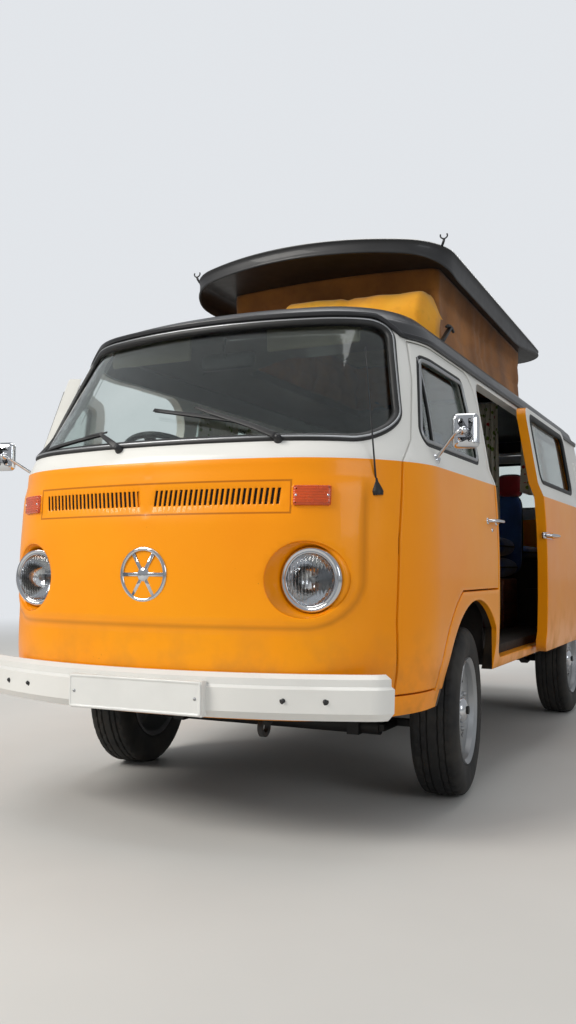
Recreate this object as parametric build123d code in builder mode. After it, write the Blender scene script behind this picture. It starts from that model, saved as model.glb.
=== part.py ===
"""Camper van with a rising roof, as separate pieces in millimetres.

While it is drawn, x runs to the van's left from its mid-plane, y runs rearwards from the front
bumper's face and z runs up from the ground. The last block moves every piece so that the origin
is the middle of the whole van's footprint on the ground, with the front towards -y.
"""

from build123d import *
from math import asin, atan2, cos, pi, sin, sqrt
import os

os.makedirs("parts", exist_ok=True)

# Overall sizes
OVERALL_LENGTH = 4504
WHEELBASE = 2400
FRONT_AXLE_Y = 1090
REAR_AXLE_Y = FRONT_AXLE_Y + WHEELBASE
AXLE_Z = 325

# Body heights
SKIRT_Z = 400
SILL_Z = 458
BELT_Z = 1232
GUTTER_Z = 1712
HEADER_Z = 1778
BROW_Y = 655

# Body walls and gaps
WALL = 45
ROOF_WALL = 30
PANEL_GAP = 6
GLASS = 6
GLASS_DEPTH = 16
REAR_ARC = 3500
REAR_CORNER = 240
FAR = 3000

# Body sections. Columns: height, foremost y, front arc, corner radius, half width, rearmost y
LOWER_SECTIONS = [
    (SKIRT_Z, 60, 2000, 500, 812, 4425),
    (480, 55, 2000, 500, 829, 4434),
    (580, 51, 2000, 502, 843, 4440),
    (740, 54, 2000, 515, 848, 4444),
    (920, 60, 1980, 515, 849, 4444),
    (1080, 68, 1960, 518, 845, 4436),
    (BELT_Z, 76, 1950, 520, 836, 4420),
]
UPPER_SECTIONS = [
    LOWER_SECTIONS[-1],
    (1298, 112, 1900, 480, 810, 4400),
    (GUTTER_Z, 395, 1490, 400, 742, 4290),
    (1785, 440, 1480, 400, 716, 4262),
]
ROOF_SECTIONS = [
    UPPER_SECTIONS[-1],
    (1840, 530, 1460, 360, 660, 4215),
    (1890, 715, 1430, 300, 564, 4100),
    (1930, 920, 1400, 220, 424, 3930),
    (1953, 1110, 1400, 130, 254, 3760),
]

# Wheels
TYRE_R = 325
TYRE_WIDTH = 180
RIM_R = 196
DISC_WALL = 10
TYRE_X = 722
KINGPIN_X = 640
RUNNING_GAP = 6
STEER_AT_REST = 6

# Half of the tyre's section, then the rim's section. Columns: along the axle, radius
TYRE_HALF = [(-66, 196), (-78, 206), (-88, 236), (-90, 268), (-82, 304), (-66, 322), (-40, TYRE_R)]
RIM_PROFILE = [
    (-78, 206),
    (-66, 196),
    (66, 196),
    (78, 206),
    (84, 204),
    (72, 188),
    (52, 182),
    (46, 150),
    (40, 110),
    (54, 92),
    (54, 62),
    (44, 48),
    (44, 16.05),
    (20, 16.05),
    (20, 60),
    (30, 92),
    (30, 110),
    (36, 150),
    (40, 182),
    (30, 188),
    (-72, 188),
    (-84, 204),
]

# Wheel arches in side view. Columns: radius, rear edge behind the axle, top above the ground
FRONT_ARCH = (431, 305, 756)
REAR_ARCH = (395, 352, 690)
HOUSING_INNER_X = 450
HOUSING_TOP_Z = 800
HOUSING_WALL = 6

# Cab door outline in side view, then its window
DOOR_FRONT = [(352, 470), (350, 700), (366, 970), (403, 1232), (488, 1314), (615, 1545), (672, 1698)]
DOOR_REAR_Y = 1420
DOOR_TOP_Z = 1698
DOOR_CORNER = 150
DOOR_STEP_Z = 797
DOOR_ARCH_R = 515
DOOR_SILL_Z = 470
DOOR_HINGE_X = 785
DOOR_HINGE_Y = 388
DOOR_HINGE_HEIGHTS = (600, 960)
RIGHT_DOOR_AJAR = 25

# Hinges: pins on the body run in barrels on the doors and lids, in pockets behind the doors' skin
HINGE_PIN_R = 3.5
HINGE_BORE_R = 3.55
HINGE_BARREL_R = 6
HINGE_BARREL = (-7.7, 14)
HINGE_ARM = (-24, -8)
HINGE_ARM_HALF = 5
HINGE_REACH = 53
HINGE_POCKET = (330, 14, 36)
HINGE_SKIN = 2.2
LID_HINGE_X = 210
LID_HINGE_PLACES = {"tailgate": (4297, 1693), "engine_lid": (4446, 938)}
LID_HINGE_BARREL = 12
LID_HINGE_HALF = 30
LID_HINGE_LEAF = (-16, 4, 19, 24)

DOOR_WINDOW = [(536, 1310), (700, 1648), (1215, 1648), (1290, 1310)]
DOOR_WINDOW_CORNER = 42

# On the cab door: mirror on its arm, and the handle
MIRROR_PLACE = (952, 560, 1345)
MIRROR_SIZE = (96, 24, 124)
MIRROR_TURN = 12
MIRROR_FOOT = (818, 640, 1262)
MIRROR_ELBOW = (900, 590, 1250)
MIRROR_ARM_R = 6
HANDLE_PLACE = (862, 1330, 1072)
HANDLE_SIZE = (36, 150, 24)

# Windows in side view: heights, then front and rear y
WINDOW_BOTTOM = 1310
WINDOW_TOP = 1648
MIDDLE_WINDOW = (1540, 2420)
REAR_WINDOW = (2650, 3610)
WINDOW_CORNER = 60
FRAME_LEDGE = 14

# Sliding door opening and the open door
SLIDE_FRONT_Y = 1450
SLIDE_REAR_Y = 2512
SLIDE_TOP_Z = 1690
SLIDE_BOTTOM_Z = 500
SLIDE_DOOR_BOTTOM_Z = 468
SLIDE_OUT = 72
SLIDE_BACK = 660
SLIDE_CORNER = 70
SLIDE_FRAME = 78
SLIDE_HANDLE_PLACE = (932, 2190, 1040)
SLIDE_ARM_HEIGHTS = (600, 1130)
SLIDE_ARM_X = 857
SLIDE_ARM_Y = 2900
SLIDE_ARM_SIZE = (44, 60, 40)

# Windscreen in front view
SCREEN_BOTTOM_Z = 1300
SCREEN_TOP_Z = 1768
SCREEN_HALF_BOTTOM = 768
SCREEN_HALF_TOP = 655
SCREEN_CORNER = 95
SCREEN_SIDE_Y = 650

# Headlamps, set in bowls in the nose
LAMP_X = 553
LAMP_Y = 168
LAMP_Z = 842
LAMP_RIM_R = 106
LAMP_LENS_R = 84
LAMP_CLEARANCE = 0.3
BUCKET_R = 92
BOWL_R = 150
BOSS_R = 150
RIM_DEPTH = 24
BOSS_DEPTH = 90

LENS_DEPTH = 12

# Badge ring: a plain ring with a hub and spokes
BADGE_Y = 42
BADGE_Z = 856
BADGE_R = 92
BADGE_BAND = 14
BADGE_HUB_R = 24
BADGE_SPOKE = 14
BADGE_SPOKES = (0, 60, 120)
BADGE_BACK_Y = 80

# Wipers: pivot, elbow, then the blade's two ends; the aerial's foot, lean and sizes
WIPERS = [
    ((-147, 112, 1284), (-263, 158, 1346), ((-544, 204, 1312), (-255, 155, 1350))),
    ((443, 172, 1293), (109, 193, 1421), ((-64, 195, 1427), (324, 172, 1354))),
]
WIPER_PIVOT_R = 14
WIPER_PIVOT = 26
WIPER_ARM = 9
WIPER_BLADE = 11
AERIAL_FOOT = (724, 314, 1128)
AERIAL_LEAN = (-0.065, -0.04, 1)
AERIAL_BASE_R = 15
AERIAL_BASE = 40
AERIAL_R = 3
AERIAL_LENGTH = 475

# Fresh air slots under the windscreen
SLOT_Z = 1108
SLOT_HEIGHT = 52
SLOT_WIDTH = 9
SLOT_PITCH = 18.6
SLOT_DEPTH = 14
SLOT_GROUPS = [(-455, 23), (35, 24)]
SLOT_SECTION = (69.5, 1957, 519, 844)

# Indicators beside the slots: place across and up, then width, depth and height
INDICATOR = (560, 1108)
INDICATOR_SIZE = (112, 44, 72)

# Gutter and roof hatch
GUTTER_OUT = 14
GUTTER_WALL = 12
ROOF_LEDGE = 15
HATCH_FRONT_Y = 1650
HATCH_REAR_Y = 3250
HATCH_HALF = 490
HATCH_CORNER = 60

# Tail lamps in the rear corners
TAIL_LAMP_X = 745
TAIL_LAMP_Y = 4372
TAIL_LAMP_Z = 985
TAIL_LAMP_SIZE = (90, 80, 270)

# Tail: tailgate, rear window, engine lid
TAIL_Y = 4150
TAILGATE = (1000, 1690, 640, 560)
TAILGATE_WINDOW = (1310, 1640, 530, 480)
ENGINE_LID = (572, 935, 470, 470)
TAIL_CORNER = 60

# Bumpers. Rows: height, how far the face is set in; plans: as the body sections, without height
BUMPER_ROWS = [(408, 20), (432, 2), (505, 0), (514, 10), (536, 10), (550, 26)]
FRONT_BUMPER_PLAN = (0, 1820, 110, 826, 4000)
REAR_BUMPER_PLAN = (500, 1820, 210, 862, OVERALL_LENGTH)
BUMPER_WALL = 32
BUMPER_REACH = 222
PLATE_WIDTH = 520
PLATE_HEIGHT = 111
PLATE_WALL = 30
PLATE_Y = 11
PLATE_Z = 468

# Chassis
RAIL_X = 400
RAIL_WIDTH = 56
RAIL_HEIGHT = 76
RAIL_FRONT_Y = 60
RAIL_REAR_Y = 4460
CROSS_MEMBERS = (620, 1520, 2300, 3060)
JACK_PLACES = (1620, 3000)
JACK_X = 740
JACK_WIDTH = 60
JACK_HEIGHT = 46
TOW_EYES = [(150, 230), (4370, 4300)]
EYE_Z = 372
EYE_TOP = 430
EYE_R = 32
EYE_HOLE_R = 18
EYE_WALL = 16

GEARBOX_HALF = 130

# Floor and deck
FLOOR_TOP_Z = 540
FLOOR_WALL = 40
DECK_Z = 930
DECK_Y = 3330
DECK_WALL = 24
FLOOR_FRONT_Y = 100

# Wheel housings. Columns: front, rear, inner side, top
HOUSINGS = [(690, 1430, HOUSING_INNER_X, HOUSING_TOP_Z), (3110, 3900, 596, 760)]
HOUSING_OUTER_X = 780
HINGE_CLEAR_X = 696
HINGE_CLEAR = (293, 566)
SEAT_X = 310
SEAT_Y = 1130
SEAT_BASE = 280

# Cab
DASH_FRONT_Y = 140
DASH_REAR_Y = 600
DASH_LOW_Z = 990
DASH_TOP_Z = 1262
DASH_HALF = 715
WHEEL_PLACE = (-370, 760, 1300)
WHEEL_AXIS = (0, 0.57, 0.82)
WHEEL_R = 200
WHEEL_GRIP_R = 13
WHEEL_HUB_R = 46
WHEEL_SPOKE = 44
HUB_DEPTH = 50
HUB_SPINDLE_R = 10
COLUMN_R = 28
COLUMN_LENGTH = 300
CAB_SEAT_X = 400
CAB_SEAT_WIDTH = 500
CAB_SEAT = [(880, 800.3), (1340, 800.3), (1420, 1480), (1350, 1500), (1240, 960), (900, 980), (870, 940)]

# Rear seat and bed cushions, then the cabinets
REAR_SEAT_RIGHT = -400
REAR_SEAT_LEFT = 560
REAR_SEAT = [(2740, 3090, 540, 820), (2730, 3160, 820.3, 950), (3180, 3305.7, 820, 1330), (3345, 4300, 930.3, 1030)]
CABINETS = [(-850, -420, 1560, 2700, 540.3, 1180), (-850, -420, 3400, 3960, 930.3, 1560)]

# Engine, gearbox and exhaust
ENGINE = [(280, 3860, 4190, 300, 640), (GEARBOX_HALF, 3260, 3870, 250, 430)]
ENGINE_CARRIER = (4060, 4120, 440, 490)
SILENCER_HALF = 320
SILENCER_Y = 4275
SILENCER_Z = 340
SILENCER_R = 66
PIPE_X = 200
PIPE_R = 20
PIPE_DROP = 30
TAIL_PIPE_Y = 4470

# Rising roof. Plan: foremost y, front arc, corner radius, half width, rearmost y
CANVAS_LOW_Z = 1850
CANVAS_FRONT_Y = 1600
CANVAS_REAR_Y = 3310
CANVAS_HALF = 542
CANVAS_WALL = 10
LID_PLAN = (1200, 1500, 230, 648, 3600)
LID_WALL = 26
LID_CEILING = 76
LID_RIM_ROWS = [(-24, 0, 0), (46, 0, 0)]
LID_SHELL_ROWS = [(46, 6, 0), (78, 16, 60), (100, 40, 300), (110, 110, 600)]
LID_HOLLOW_ROWS = [(-40, 0, 0), (46, 0, 0), (LID_CEILING, 14, 160)]
LID_TILT = Location((0, 3585, 2182), (-1.6, 0, 0)) * Location((0, -3585, 0))
CATCH = [(600, 1399, 1835), (600, 1588, 1975)]
CATCH_R = 9
CATCH_BAR = (16, 110, 14)

# Front beam, arms, knuckles and rear axle
BEAM_AHEAD = 150
BEAM_HEIGHTS = (262, 392)
BEAM_R = 30
TOWER_X = 400
TOWER_WIDTH = 50
TOWER_DEPTH = 90
ARM_X = 500
ARM_WIDTH = 44
ARM_HEIGHT = 26
KINGPIN_R = 20
PIN_GAP = 0.3
HALF_SHAFT_R = 24
SPINDLE_R = 16
SPINDLE_GAP = 0.05
SPINDLE_LENGTH = 70
RIM_OFFSET = 30
SWING_ARM_X = 500
SWING_ARM_WALL = 40
SWING_ARM = [(3060, 424), (3150, 424), (3530, 350), (3530, 300), (3440, 290)]
TORSION_TUBE = (3070, 3140, 354, 424)


def outline(front, arc, corner, half, rear, inset=0):
    """Plan outline of the body at one height, drawn in the sketch that is open."""
    far, near, w = arc - inset, corner - inset, half - inset
    centre = front + inset + far
    k = centre - sqrt((far - near) ** 2 - (w - near) ** 2)
    t = atan2(w - near, centre - k)
    joint = (far * sin(t), centre - far * cos(t))
    mid = (t + pi / 2) / 2
    bulge = (w - near + near * sin(mid), k - near * cos(mid))
    far_r, near_r = REAR_ARC - inset, REAR_CORNER - inset
    last = rear - inset
    centre_r = last - far_r
    k_r = centre_r + sqrt((far_r - near_r) ** 2 - (w - near_r) ** 2)
    t_r = atan2(w - near_r, k_r - centre_r)
    joint_r = (far_r * sin(t_r), centre_r + far_r * cos(t_r))
    mid_r = (t_r + pi / 2) / 2
    bulge_r = (w - near_r + near_r * sin(mid_r), k_r + near_r * cos(mid_r))
    with BuildLine() as line:
        ThreePointArc((-joint[0], joint[1]), (0, front + inset), joint)
        ThreePointArc(joint, bulge, (w, k))
        Line((w, k), (w, k_r))
        ThreePointArc((w, k_r), bulge_r, joint_r)
        ThreePointArc(joint_r, (0, last), (-joint_r[0], joint_r[1]))
        ThreePointArc((-joint_r[0], joint_r[1]), (-bulge_r[0], bulge_r[1]), (-w, k_r))
        Line((-w, k_r), (-w, k))
        ThreePointArc((-w, k), (-bulge[0], bulge[1]), (-joint[0], joint[1]))
    make_face(line.edges())


def envelope(sections, inset=0, drop=0, ruled=False):
    """Solid through the plan outlines, each moved in by inset and down by drop."""
    with BuildPart() as solid:
        for height, *row in sections:
            with BuildSketch(Plane.XY.offset(height - drop)):
                outline(*row, inset)
        loft(ruled=ruled)
    return solid.part


def side_prism(points, side, radius=0):
    """Prism of an outline in side view, y and z, from the mid-plane out to one side."""
    with BuildPart() as prism:
        with BuildSketch(Plane.YZ) as face:
            with BuildLine():
                Polyline(*points, close=True)
            make_face()
            if radius:
                fillet(face.vertices(), radius)
        extrude(amount=side * FAR)
    return prism.part


def front_prism(points, y_from, y_to, radius=0):
    """Prism of an outline in front view, x and z, between two places along the van."""
    with BuildPart() as prism:
        with BuildSketch(Plane.XZ.offset(-y_to)) as face:
            with BuildLine():
                Polyline(*points, close=True)
            make_face()
            if radius:
                fillet(face.vertices(), radius)
        extrude(amount=y_to - y_from)
    return prism.part


def trapezium(bottom, top, half_bottom, half_top, grow=0):
    """Corners of an upright trapezium in front view, grown by a margin."""
    return [
        (-half_bottom - grow, bottom - grow),
        (half_bottom + grow, bottom - grow),
        (half_top + grow, top + grow),
        (-half_top - grow, top + grow),
    ]


def rectangle(front, rear, bottom, top, grow=0):
    """Corners of a rectangle in side view, grown by a margin."""
    return [
        (front - grow, bottom - grow),
        (rear + grow, bottom - grow),
        (rear + grow, top + grow),
        (front - grow, top + grow),
    ]


def arch_prism(axle_y, arch):
    """Wheel arch through both sides: a circle round the axle, cut off behind and above."""
    radius, rear, top = arch
    with BuildPart() as prism:
        with BuildSketch(Plane.YZ.offset(-FAR)):
            with Locations((axle_y, AXLE_Z)):
                Circle(radius)
            with Locations((axle_y + rear, top)):
                Rectangle(4 * radius, 4 * radius, align=(Align.MAX, Align.MAX), mode=Mode.INTERSECT)
        extrude(amount=2 * FAR)
    return prism.part


def door_prism(side, grow=0):
    """Cab door in side view as a prism; growing it leaves the gap round the door."""
    front = [(y - grow, z) for y, z in DOOR_FRONT[1:-1]]
    foot = (DOOR_FRONT[0][0] - grow, DOOR_SILL_Z - grow)
    head = (DOOR_FRONT[-1][0] - grow, DOOR_TOP_Z + grow)
    rear, step = DOOR_REAR_Y + grow, DOOR_STEP_Z - grow
    tail = [(rear, DOOR_TOP_Z + grow), (rear, step), (FRONT_AXLE_Y, step), (FRONT_AXLE_Y, foot[1])]
    with BuildPart() as prism:
        with BuildSketch(Plane.YZ) as face:
            with BuildLine():
                Polyline(foot, *front, head, *tail, close=True)
            make_face()
            corner = face.vertices().group_by(Axis.Y)[-1].sort_by(Axis.X)[-1]
            fillet(corner, DOOR_CORNER + grow)
            with BuildSketch(mode=Mode.SUBTRACT):
                with Locations((FRONT_AXLE_Y, AXLE_Z)):
                    Circle(DOOR_ARCH_R - grow)
                with Locations((FRONT_AXLE_Y, step)):
                    Rectangle(FAR, FAR, align=(Align.CENTER, Align.MAX), mode=Mode.INTERSECT)
        extrude(amount=side * FAR)
    return prism.part


# Outer skin, inner skin and the shell between them
lower_outer = envelope(LOWER_SECTIONS, ruled=True)
upper_outer = envelope(UPPER_SECTIONS, ruled=True)
roof_outer = envelope(ROOF_SECTIONS)
lower_inner = envelope([(SKIRT_Z - 10, *LOWER_SECTIONS[0][1:]), *LOWER_SECTIONS[1:]], WALL, ruled=True)
upper_inner = envelope(UPPER_SECTIONS, WALL, ruled=True)
roof_inner = envelope(ROOF_SECTIONS, WALL, ROOF_WALL)

with BuildPart() as shell:
    add(lower_outer)
    add(upper_outer)
    add(roof_outer)
    add(lower_inner, mode=Mode.SUBTRACT)
    add(upper_inner, mode=Mode.SUBTRACT)
    add(roof_inner, mode=Mode.SUBTRACT)

# Cutters that several panels share
front_arch = arch_prism(FRONT_AXLE_Y, FRONT_ARCH)
rear_arch = arch_prism(REAR_AXLE_Y, REAR_ARCH)
nose_line = [(-FAR, SKIRT_Z - WALL), (DOOR_FRONT[0][0] - PANEL_GAP, SKIRT_Z - WALL)]
nose_line += [(y - PANEL_GAP, z) for y, z in DOOR_FRONT[:-1]]
nose_line += [(DOOR_FRONT[-1][0] - PANEL_GAP, GUTTER_Z), (BROW_Y, HEADER_Z), (-FAR, HEADER_Z)]
with BuildPart() as nose_region:
    add(side_prism(nose_line, 1))
    add(side_prism(nose_line, -1))
screen_points = trapezium(SCREEN_BOTTOM_Z, SCREEN_TOP_Z, SCREEN_HALF_BOTTOM, SCREEN_HALF_TOP)
screen_hole = front_prism(screen_points, 0, SCREEN_SIDE_Y, SCREEN_CORNER)

# Skin that every pane is cut from, a little way in from the body's surface
with BuildPart() as glass_skin:
    add(envelope(UPPER_SECTIONS, GLASS_DEPTH, ruled=True))
    add(envelope(UPPER_SECTIONS, GLASS_DEPTH + GLASS, ruled=True), mode=Mode.SUBTRACT)


def window_prism(front, rear, side):
    """A side window as a prism, with round corners."""
    return side_prism(rectangle(front, rear, WINDOW_BOTTOM, WINDOW_TOP), side, WINDOW_CORNER)


def front_surface(x, front, arc, corner, half):
    """How far back a body section's front lies at one distance across, and its slope there."""
    centre = front + arc
    k = centre - sqrt((arc - corner) ** 2 - (half - corner) ** 2)
    if x <= arc * sin(atan2(half - corner, centre - k)):
        slope = asin(x / arc)
        return centre - arc * cos(slope), slope
    slope = asin((x - half + corner) / corner)
    return k - corner * cos(slope), slope


def fitting_place(side, x, z):
    """Location on the nose at a place across and up, turned to the panel's slope there."""
    y, slope = front_surface(x, *SLOT_SECTION)
    return Location((side * x, y, z), (0, 0, side * slope * 180 / pi))


def facing_forward(x, y, z):
    """Plane that faces the front of the van, with x to the van's left and y up."""
    return Plane(origin=(x, y, z), x_dir=(1, 0, 0), z_dir=(0, -1, 0))


def bumper(rows, plan, y_from, y_to):
    """Blade with a folded face that follows the plan outline between two places along the van."""
    with BuildPart() as blade:
        for z, inset in rows:
            with BuildSketch(Plane.XY.offset(z)):
                outline(*plan, inset)
        loft(ruled=True)
        with BuildSketch(Plane.XY.offset(rows[0][0])):
            outline(*plan, BUMPER_WALL)
        extrude(amount=FAR, mode=Mode.SUBTRACT)
        with Locations((0, y_from, 0)):
            Box(FAR, y_to - y_from, FAR, align=(Align.CENTER, Align.MIN, Align.CENTER), mode=Mode.INTERSECT)
    return blade.part


def door_hinges(side):
    """Hinge arms with their pins, which stand on the nose beside one cab door."""
    with BuildPart() as arms:
        for height in DOOR_HINGE_HEIGHTS:
            low, high = height + HINGE_ARM[0], height + HINGE_ARM[1]
            for radius, top in ((HINGE_BARREL_R, high), (HINGE_PIN_R, height + HINGE_BARREL[1])):
                with BuildSketch(Plane.XY.offset(low)):
                    with Locations((side * DOOR_HINGE_X, DOOR_HINGE_Y)):
                        Circle(radius)
                extrude(amount=top - low)
            inner = DOOR_HINGE_X - HINGE_REACH
            with Locations((side * (inner + DOOR_HINGE_X) / 2, DOOR_HINGE_Y, (low + high) / 2)):
                Box(HINGE_REACH + 2 * HINGE_ARM_HALF, 2 * HINGE_ARM_HALF, high - low)
            with Locations((side * inner, (HINGE_POCKET[0] + DOOR_HINGE_Y) / 2, (low + high) / 2)):
                Box(2 * HINGE_ARM_HALF, DOOR_HINGE_Y - HINGE_POCKET[0], high - low)
    return arms.part


def lid_hinges(place, moving):
    """Hinges above a rear lid: the body's pins with their ears, or the lid's barrels."""
    y, z = place
    back, front, up, down = LID_HINGE_LEAF
    with BuildPart() as hinges:
        for x in (-LID_HINGE_X, LID_HINGE_X):
            half = LID_HINGE_BARREL if moving else LID_HINGE_HALF
            reach = -down if moving else up
            with Locations((x, y, z)):
                Cylinder(HINGE_BARREL_R, 2 * half, rotation=(0, 90, 0))
            with Locations((x, y + (back + front) / 2, z + reach / 2)):
                Box(2 * half, front - back, abs(reach))
            if moving:
                with Locations((x, y, z)):
                    Cylinder(HINGE_BORE_R, 2 * half, rotation=(0, 90, 0), mode=Mode.SUBTRACT)
            else:
                with Locations((x, y, z)):
                    Box(2 * (LID_HINGE_BARREL + PIN_GAP), 4 * up, 4 * up, mode=Mode.SUBTRACT)
                    Cylinder(HINGE_PIN_R, 2 * half, rotation=(0, 90, 0))
    return hinges.part


# Bumpers, with the number plate on the front one
with BuildPart() as front_bumper:
    add(bumper(BUMPER_ROWS, FRONT_BUMPER_PLAN, 0, BUMPER_REACH))
    with Locations((0, PLATE_Y, PLATE_Z)):
        Box(PLATE_WIDTH, PLATE_WALL, PLATE_HEIGHT)
front_bumper.part.label = "front_bumper"
with BuildPart() as rear_bumper:
    add(bumper(BUMPER_ROWS, REAR_BUMPER_PLAN, OVERALL_LENGTH - BUMPER_REACH, OVERALL_LENGTH))
rear_bumper.part.label = "rear_bumper"

# Chassis: two rails with cross members, bumper brackets, jacking pads and towing eyes
with BuildPart() as chassis:
    for side in (-1, 1):
        with Locations((side * RAIL_X, (RAIL_FRONT_Y + RAIL_REAR_Y) / 2, FLOOR_TOP_Z - FLOOR_WALL - RAIL_HEIGHT / 2)):
            Box(RAIL_WIDTH, RAIL_REAR_Y - RAIL_FRONT_Y, RAIL_HEIGHT)
        for y in JACK_PLACES:
            with Locations((side * (RAIL_X + JACK_X) / 2, y, FLOOR_TOP_Z - FLOOR_WALL - JACK_HEIGHT / 2)):
                Box(JACK_X - RAIL_X + JACK_WIDTH, JACK_WIDTH, JACK_HEIGHT)
    for y in CROSS_MEMBERS:
        with Locations((0, y, FLOOR_TOP_Z - FLOOR_WALL - RAIL_HEIGHT / 2)):
            Box(2 * RAIL_X, RAIL_WIDTH, RAIL_HEIGHT)
    for y, lug_y in TOW_EYES:
        with BuildSketch(Plane.YZ.offset(RAIL_X - EYE_WALL / 2)) as lug:
            with BuildLine():
                low, high = [(y - EYE_R, EYE_Z), (y + EYE_R, EYE_Z)], [(lug_y + EYE_R, EYE_TOP), (lug_y - EYE_R, EYE_TOP)]
                Polyline(*low, *high, close=True)
            make_face()
            with Locations((y, EYE_Z)):
                Circle(EYE_R)
                Circle(EYE_HOLE_R, mode=Mode.SUBTRACT)
        extrude(amount=EYE_WALL)
    add(front_bumper.part, mode=Mode.SUBTRACT)
    add(rear_bumper.part, mode=Mode.SUBTRACT)
chassis.part.label = "chassis"

# Nose: front panel, windscreen frame and door pillars
slot_places = [first + i * SLOT_PITCH for first, count in SLOT_GROUPS for i in range(count)]
with BuildPart() as lamp_boss:
    for side in (-1, 1):
        with BuildSketch(facing_forward(side * LAMP_X, LAMP_Y + BOSS_DEPTH, LAMP_Z)):
            Circle(BOSS_R)
        extrude(amount=FAR)
    add(lower_outer, mode=Mode.INTERSECT)
with BuildPart() as nose:
    add(shell.part)
    add(nose_region.part, mode=Mode.INTERSECT)
    add(screen_hole, mode=Mode.SUBTRACT)
    add(lamp_boss.part)
    for side in (-1, 1):
        with BuildSketch(facing_forward(side * LAMP_X, LAMP_Y + RIM_DEPTH, LAMP_Z)):
            Circle(LAMP_RIM_R + LAMP_CLEARANCE)
        with BuildSketch(facing_forward(side * LAMP_X, 0, LAMP_Z)):
            Circle(BOWL_R)
        loft(mode=Mode.SUBTRACT)
        with BuildSketch(facing_forward(side * LAMP_X, LAMP_Y + BOSS_DEPTH, LAMP_Z)):
            Circle(BUCKET_R)
        extrude(amount=BOSS_DEPTH, mode=Mode.SUBTRACT)
    with Locations(*[(x, front_surface(abs(x), *SLOT_SECTION)[0], SLOT_Z) for x in slot_places]):
        Box(SLOT_WIDTH, 2 * SLOT_DEPTH, SLOT_HEIGHT, mode=Mode.SUBTRACT)
    with Locations(*[fitting_place(side, *INDICATOR[:2]) for side in (-1, 1)]):
        Box(*INDICATOR_SIZE, mode=Mode.SUBTRACT)
    for side in (-1, 1):
        add(door_hinges(side))
    add(chassis.part, mode=Mode.SUBTRACT)
nose.part.label = "nose"

# Roof, with the hatch under the canvas and a gutter along each side
with BuildPart() as roof_block:
    with Locations((0, 0, GUTTER_Z)):
        Box(4 * FAR, 4 * FAR, FAR, align=(Align.CENTER, Align.CENTER, Align.MIN))
    add(nose_region.part, mode=Mode.SUBTRACT)
with BuildPart() as gutter:
    with BuildSketch(Plane.XY.offset(GUTTER_Z)):
        outline(*UPPER_SECTIONS[-2][1:], -GUTTER_OUT)
    extrude(amount=GUTTER_WALL)
    with BuildSketch(Plane.XY.offset(GUTTER_Z)):
        outline(*UPPER_SECTIONS[-2][1:], WALL - ROOF_LEDGE)
    extrude(amount=GUTTER_WALL, mode=Mode.SUBTRACT)
    add(nose_region.part, mode=Mode.SUBTRACT)
with BuildPart() as roof:
    add(shell.part)
    add(roof_block.part, mode=Mode.INTERSECT)
    add(gutter.part)
    with BuildSketch(Plane.XY.offset(GUTTER_Z)):
        with Locations((0, (HATCH_FRONT_Y + HATCH_REAR_Y) / 2)):
            RectangleRounded(2 * HATCH_HALF, HATCH_REAR_Y - HATCH_FRONT_Y, HATCH_CORNER)
    extrude(amount=FAR, mode=Mode.SUBTRACT)
roof.part.label = "roof"

# Tail: rear wall with the corners, open for the tailgate and the engine lid
tail_region = front_prism(trapezium(0, GUTTER_Z, FAR, FAR), TAIL_Y, FAR + OVERALL_LENGTH)
gate_bottom, gate_top, gate_low, gate_high = TAILGATE
lid_bottom, lid_top, lid_low, lid_high = ENGINE_LID
pane_bottom, pane_top, pane_low, pane_high = TAILGATE_WINDOW
lid_cut = trapezium(lid_bottom, lid_top, lid_low, lid_high)
gate_cut = trapezium(gate_bottom, gate_top, gate_low, gate_high)
pane_cut = trapezium(pane_bottom, pane_top, pane_low, pane_high)
gate_grown = trapezium(gate_bottom, gate_top, gate_low, gate_high, PANEL_GAP)
lid_grown = trapezium(lid_bottom, lid_top, lid_low, lid_high, PANEL_GAP)
with BuildPart() as tail:
    add(shell.part)
    add(tail_region, mode=Mode.INTERSECT)
    add(front_prism(gate_grown, TAIL_Y, FAR + OVERALL_LENGTH, TAIL_CORNER + PANEL_GAP), mode=Mode.SUBTRACT)
    add(front_prism(lid_grown, TAIL_Y, FAR + OVERALL_LENGTH, TAIL_CORNER + PANEL_GAP), mode=Mode.SUBTRACT)
    for side in (-1, 1):
        with Locations((side * TAIL_LAMP_X, TAIL_LAMP_Y, TAIL_LAMP_Z)):
            Box(*TAIL_LAMP_SIZE, mode=Mode.SUBTRACT)
    for place in LID_HINGE_PLACES.values():
        add(lid_hinges(place, False))
    add(chassis.part, mode=Mode.SUBTRACT)
tail.part.label = "tail"

with BuildPart() as tailgate:
    add(shell.part)
    add(front_prism(gate_cut, TAIL_Y, FAR + OVERALL_LENGTH, TAIL_CORNER), mode=Mode.INTERSECT)
    add(front_prism(pane_cut, TAIL_Y, FAR + OVERALL_LENGTH, TAIL_CORNER), mode=Mode.SUBTRACT)
    add(lid_hinges(LID_HINGE_PLACES["tailgate"], True))
tailgate.part.label = "tailgate"

with BuildPart() as engine_lid:
    add(shell.part)
    add(front_prism(lid_cut, TAIL_Y, FAR + OVERALL_LENGTH, TAIL_CORNER), mode=Mode.INTERSECT)
    add(lid_hinges(LID_HINGE_PLACES["engine_lid"], True))
engine_lid.part.label = "engine_lid"

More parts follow.
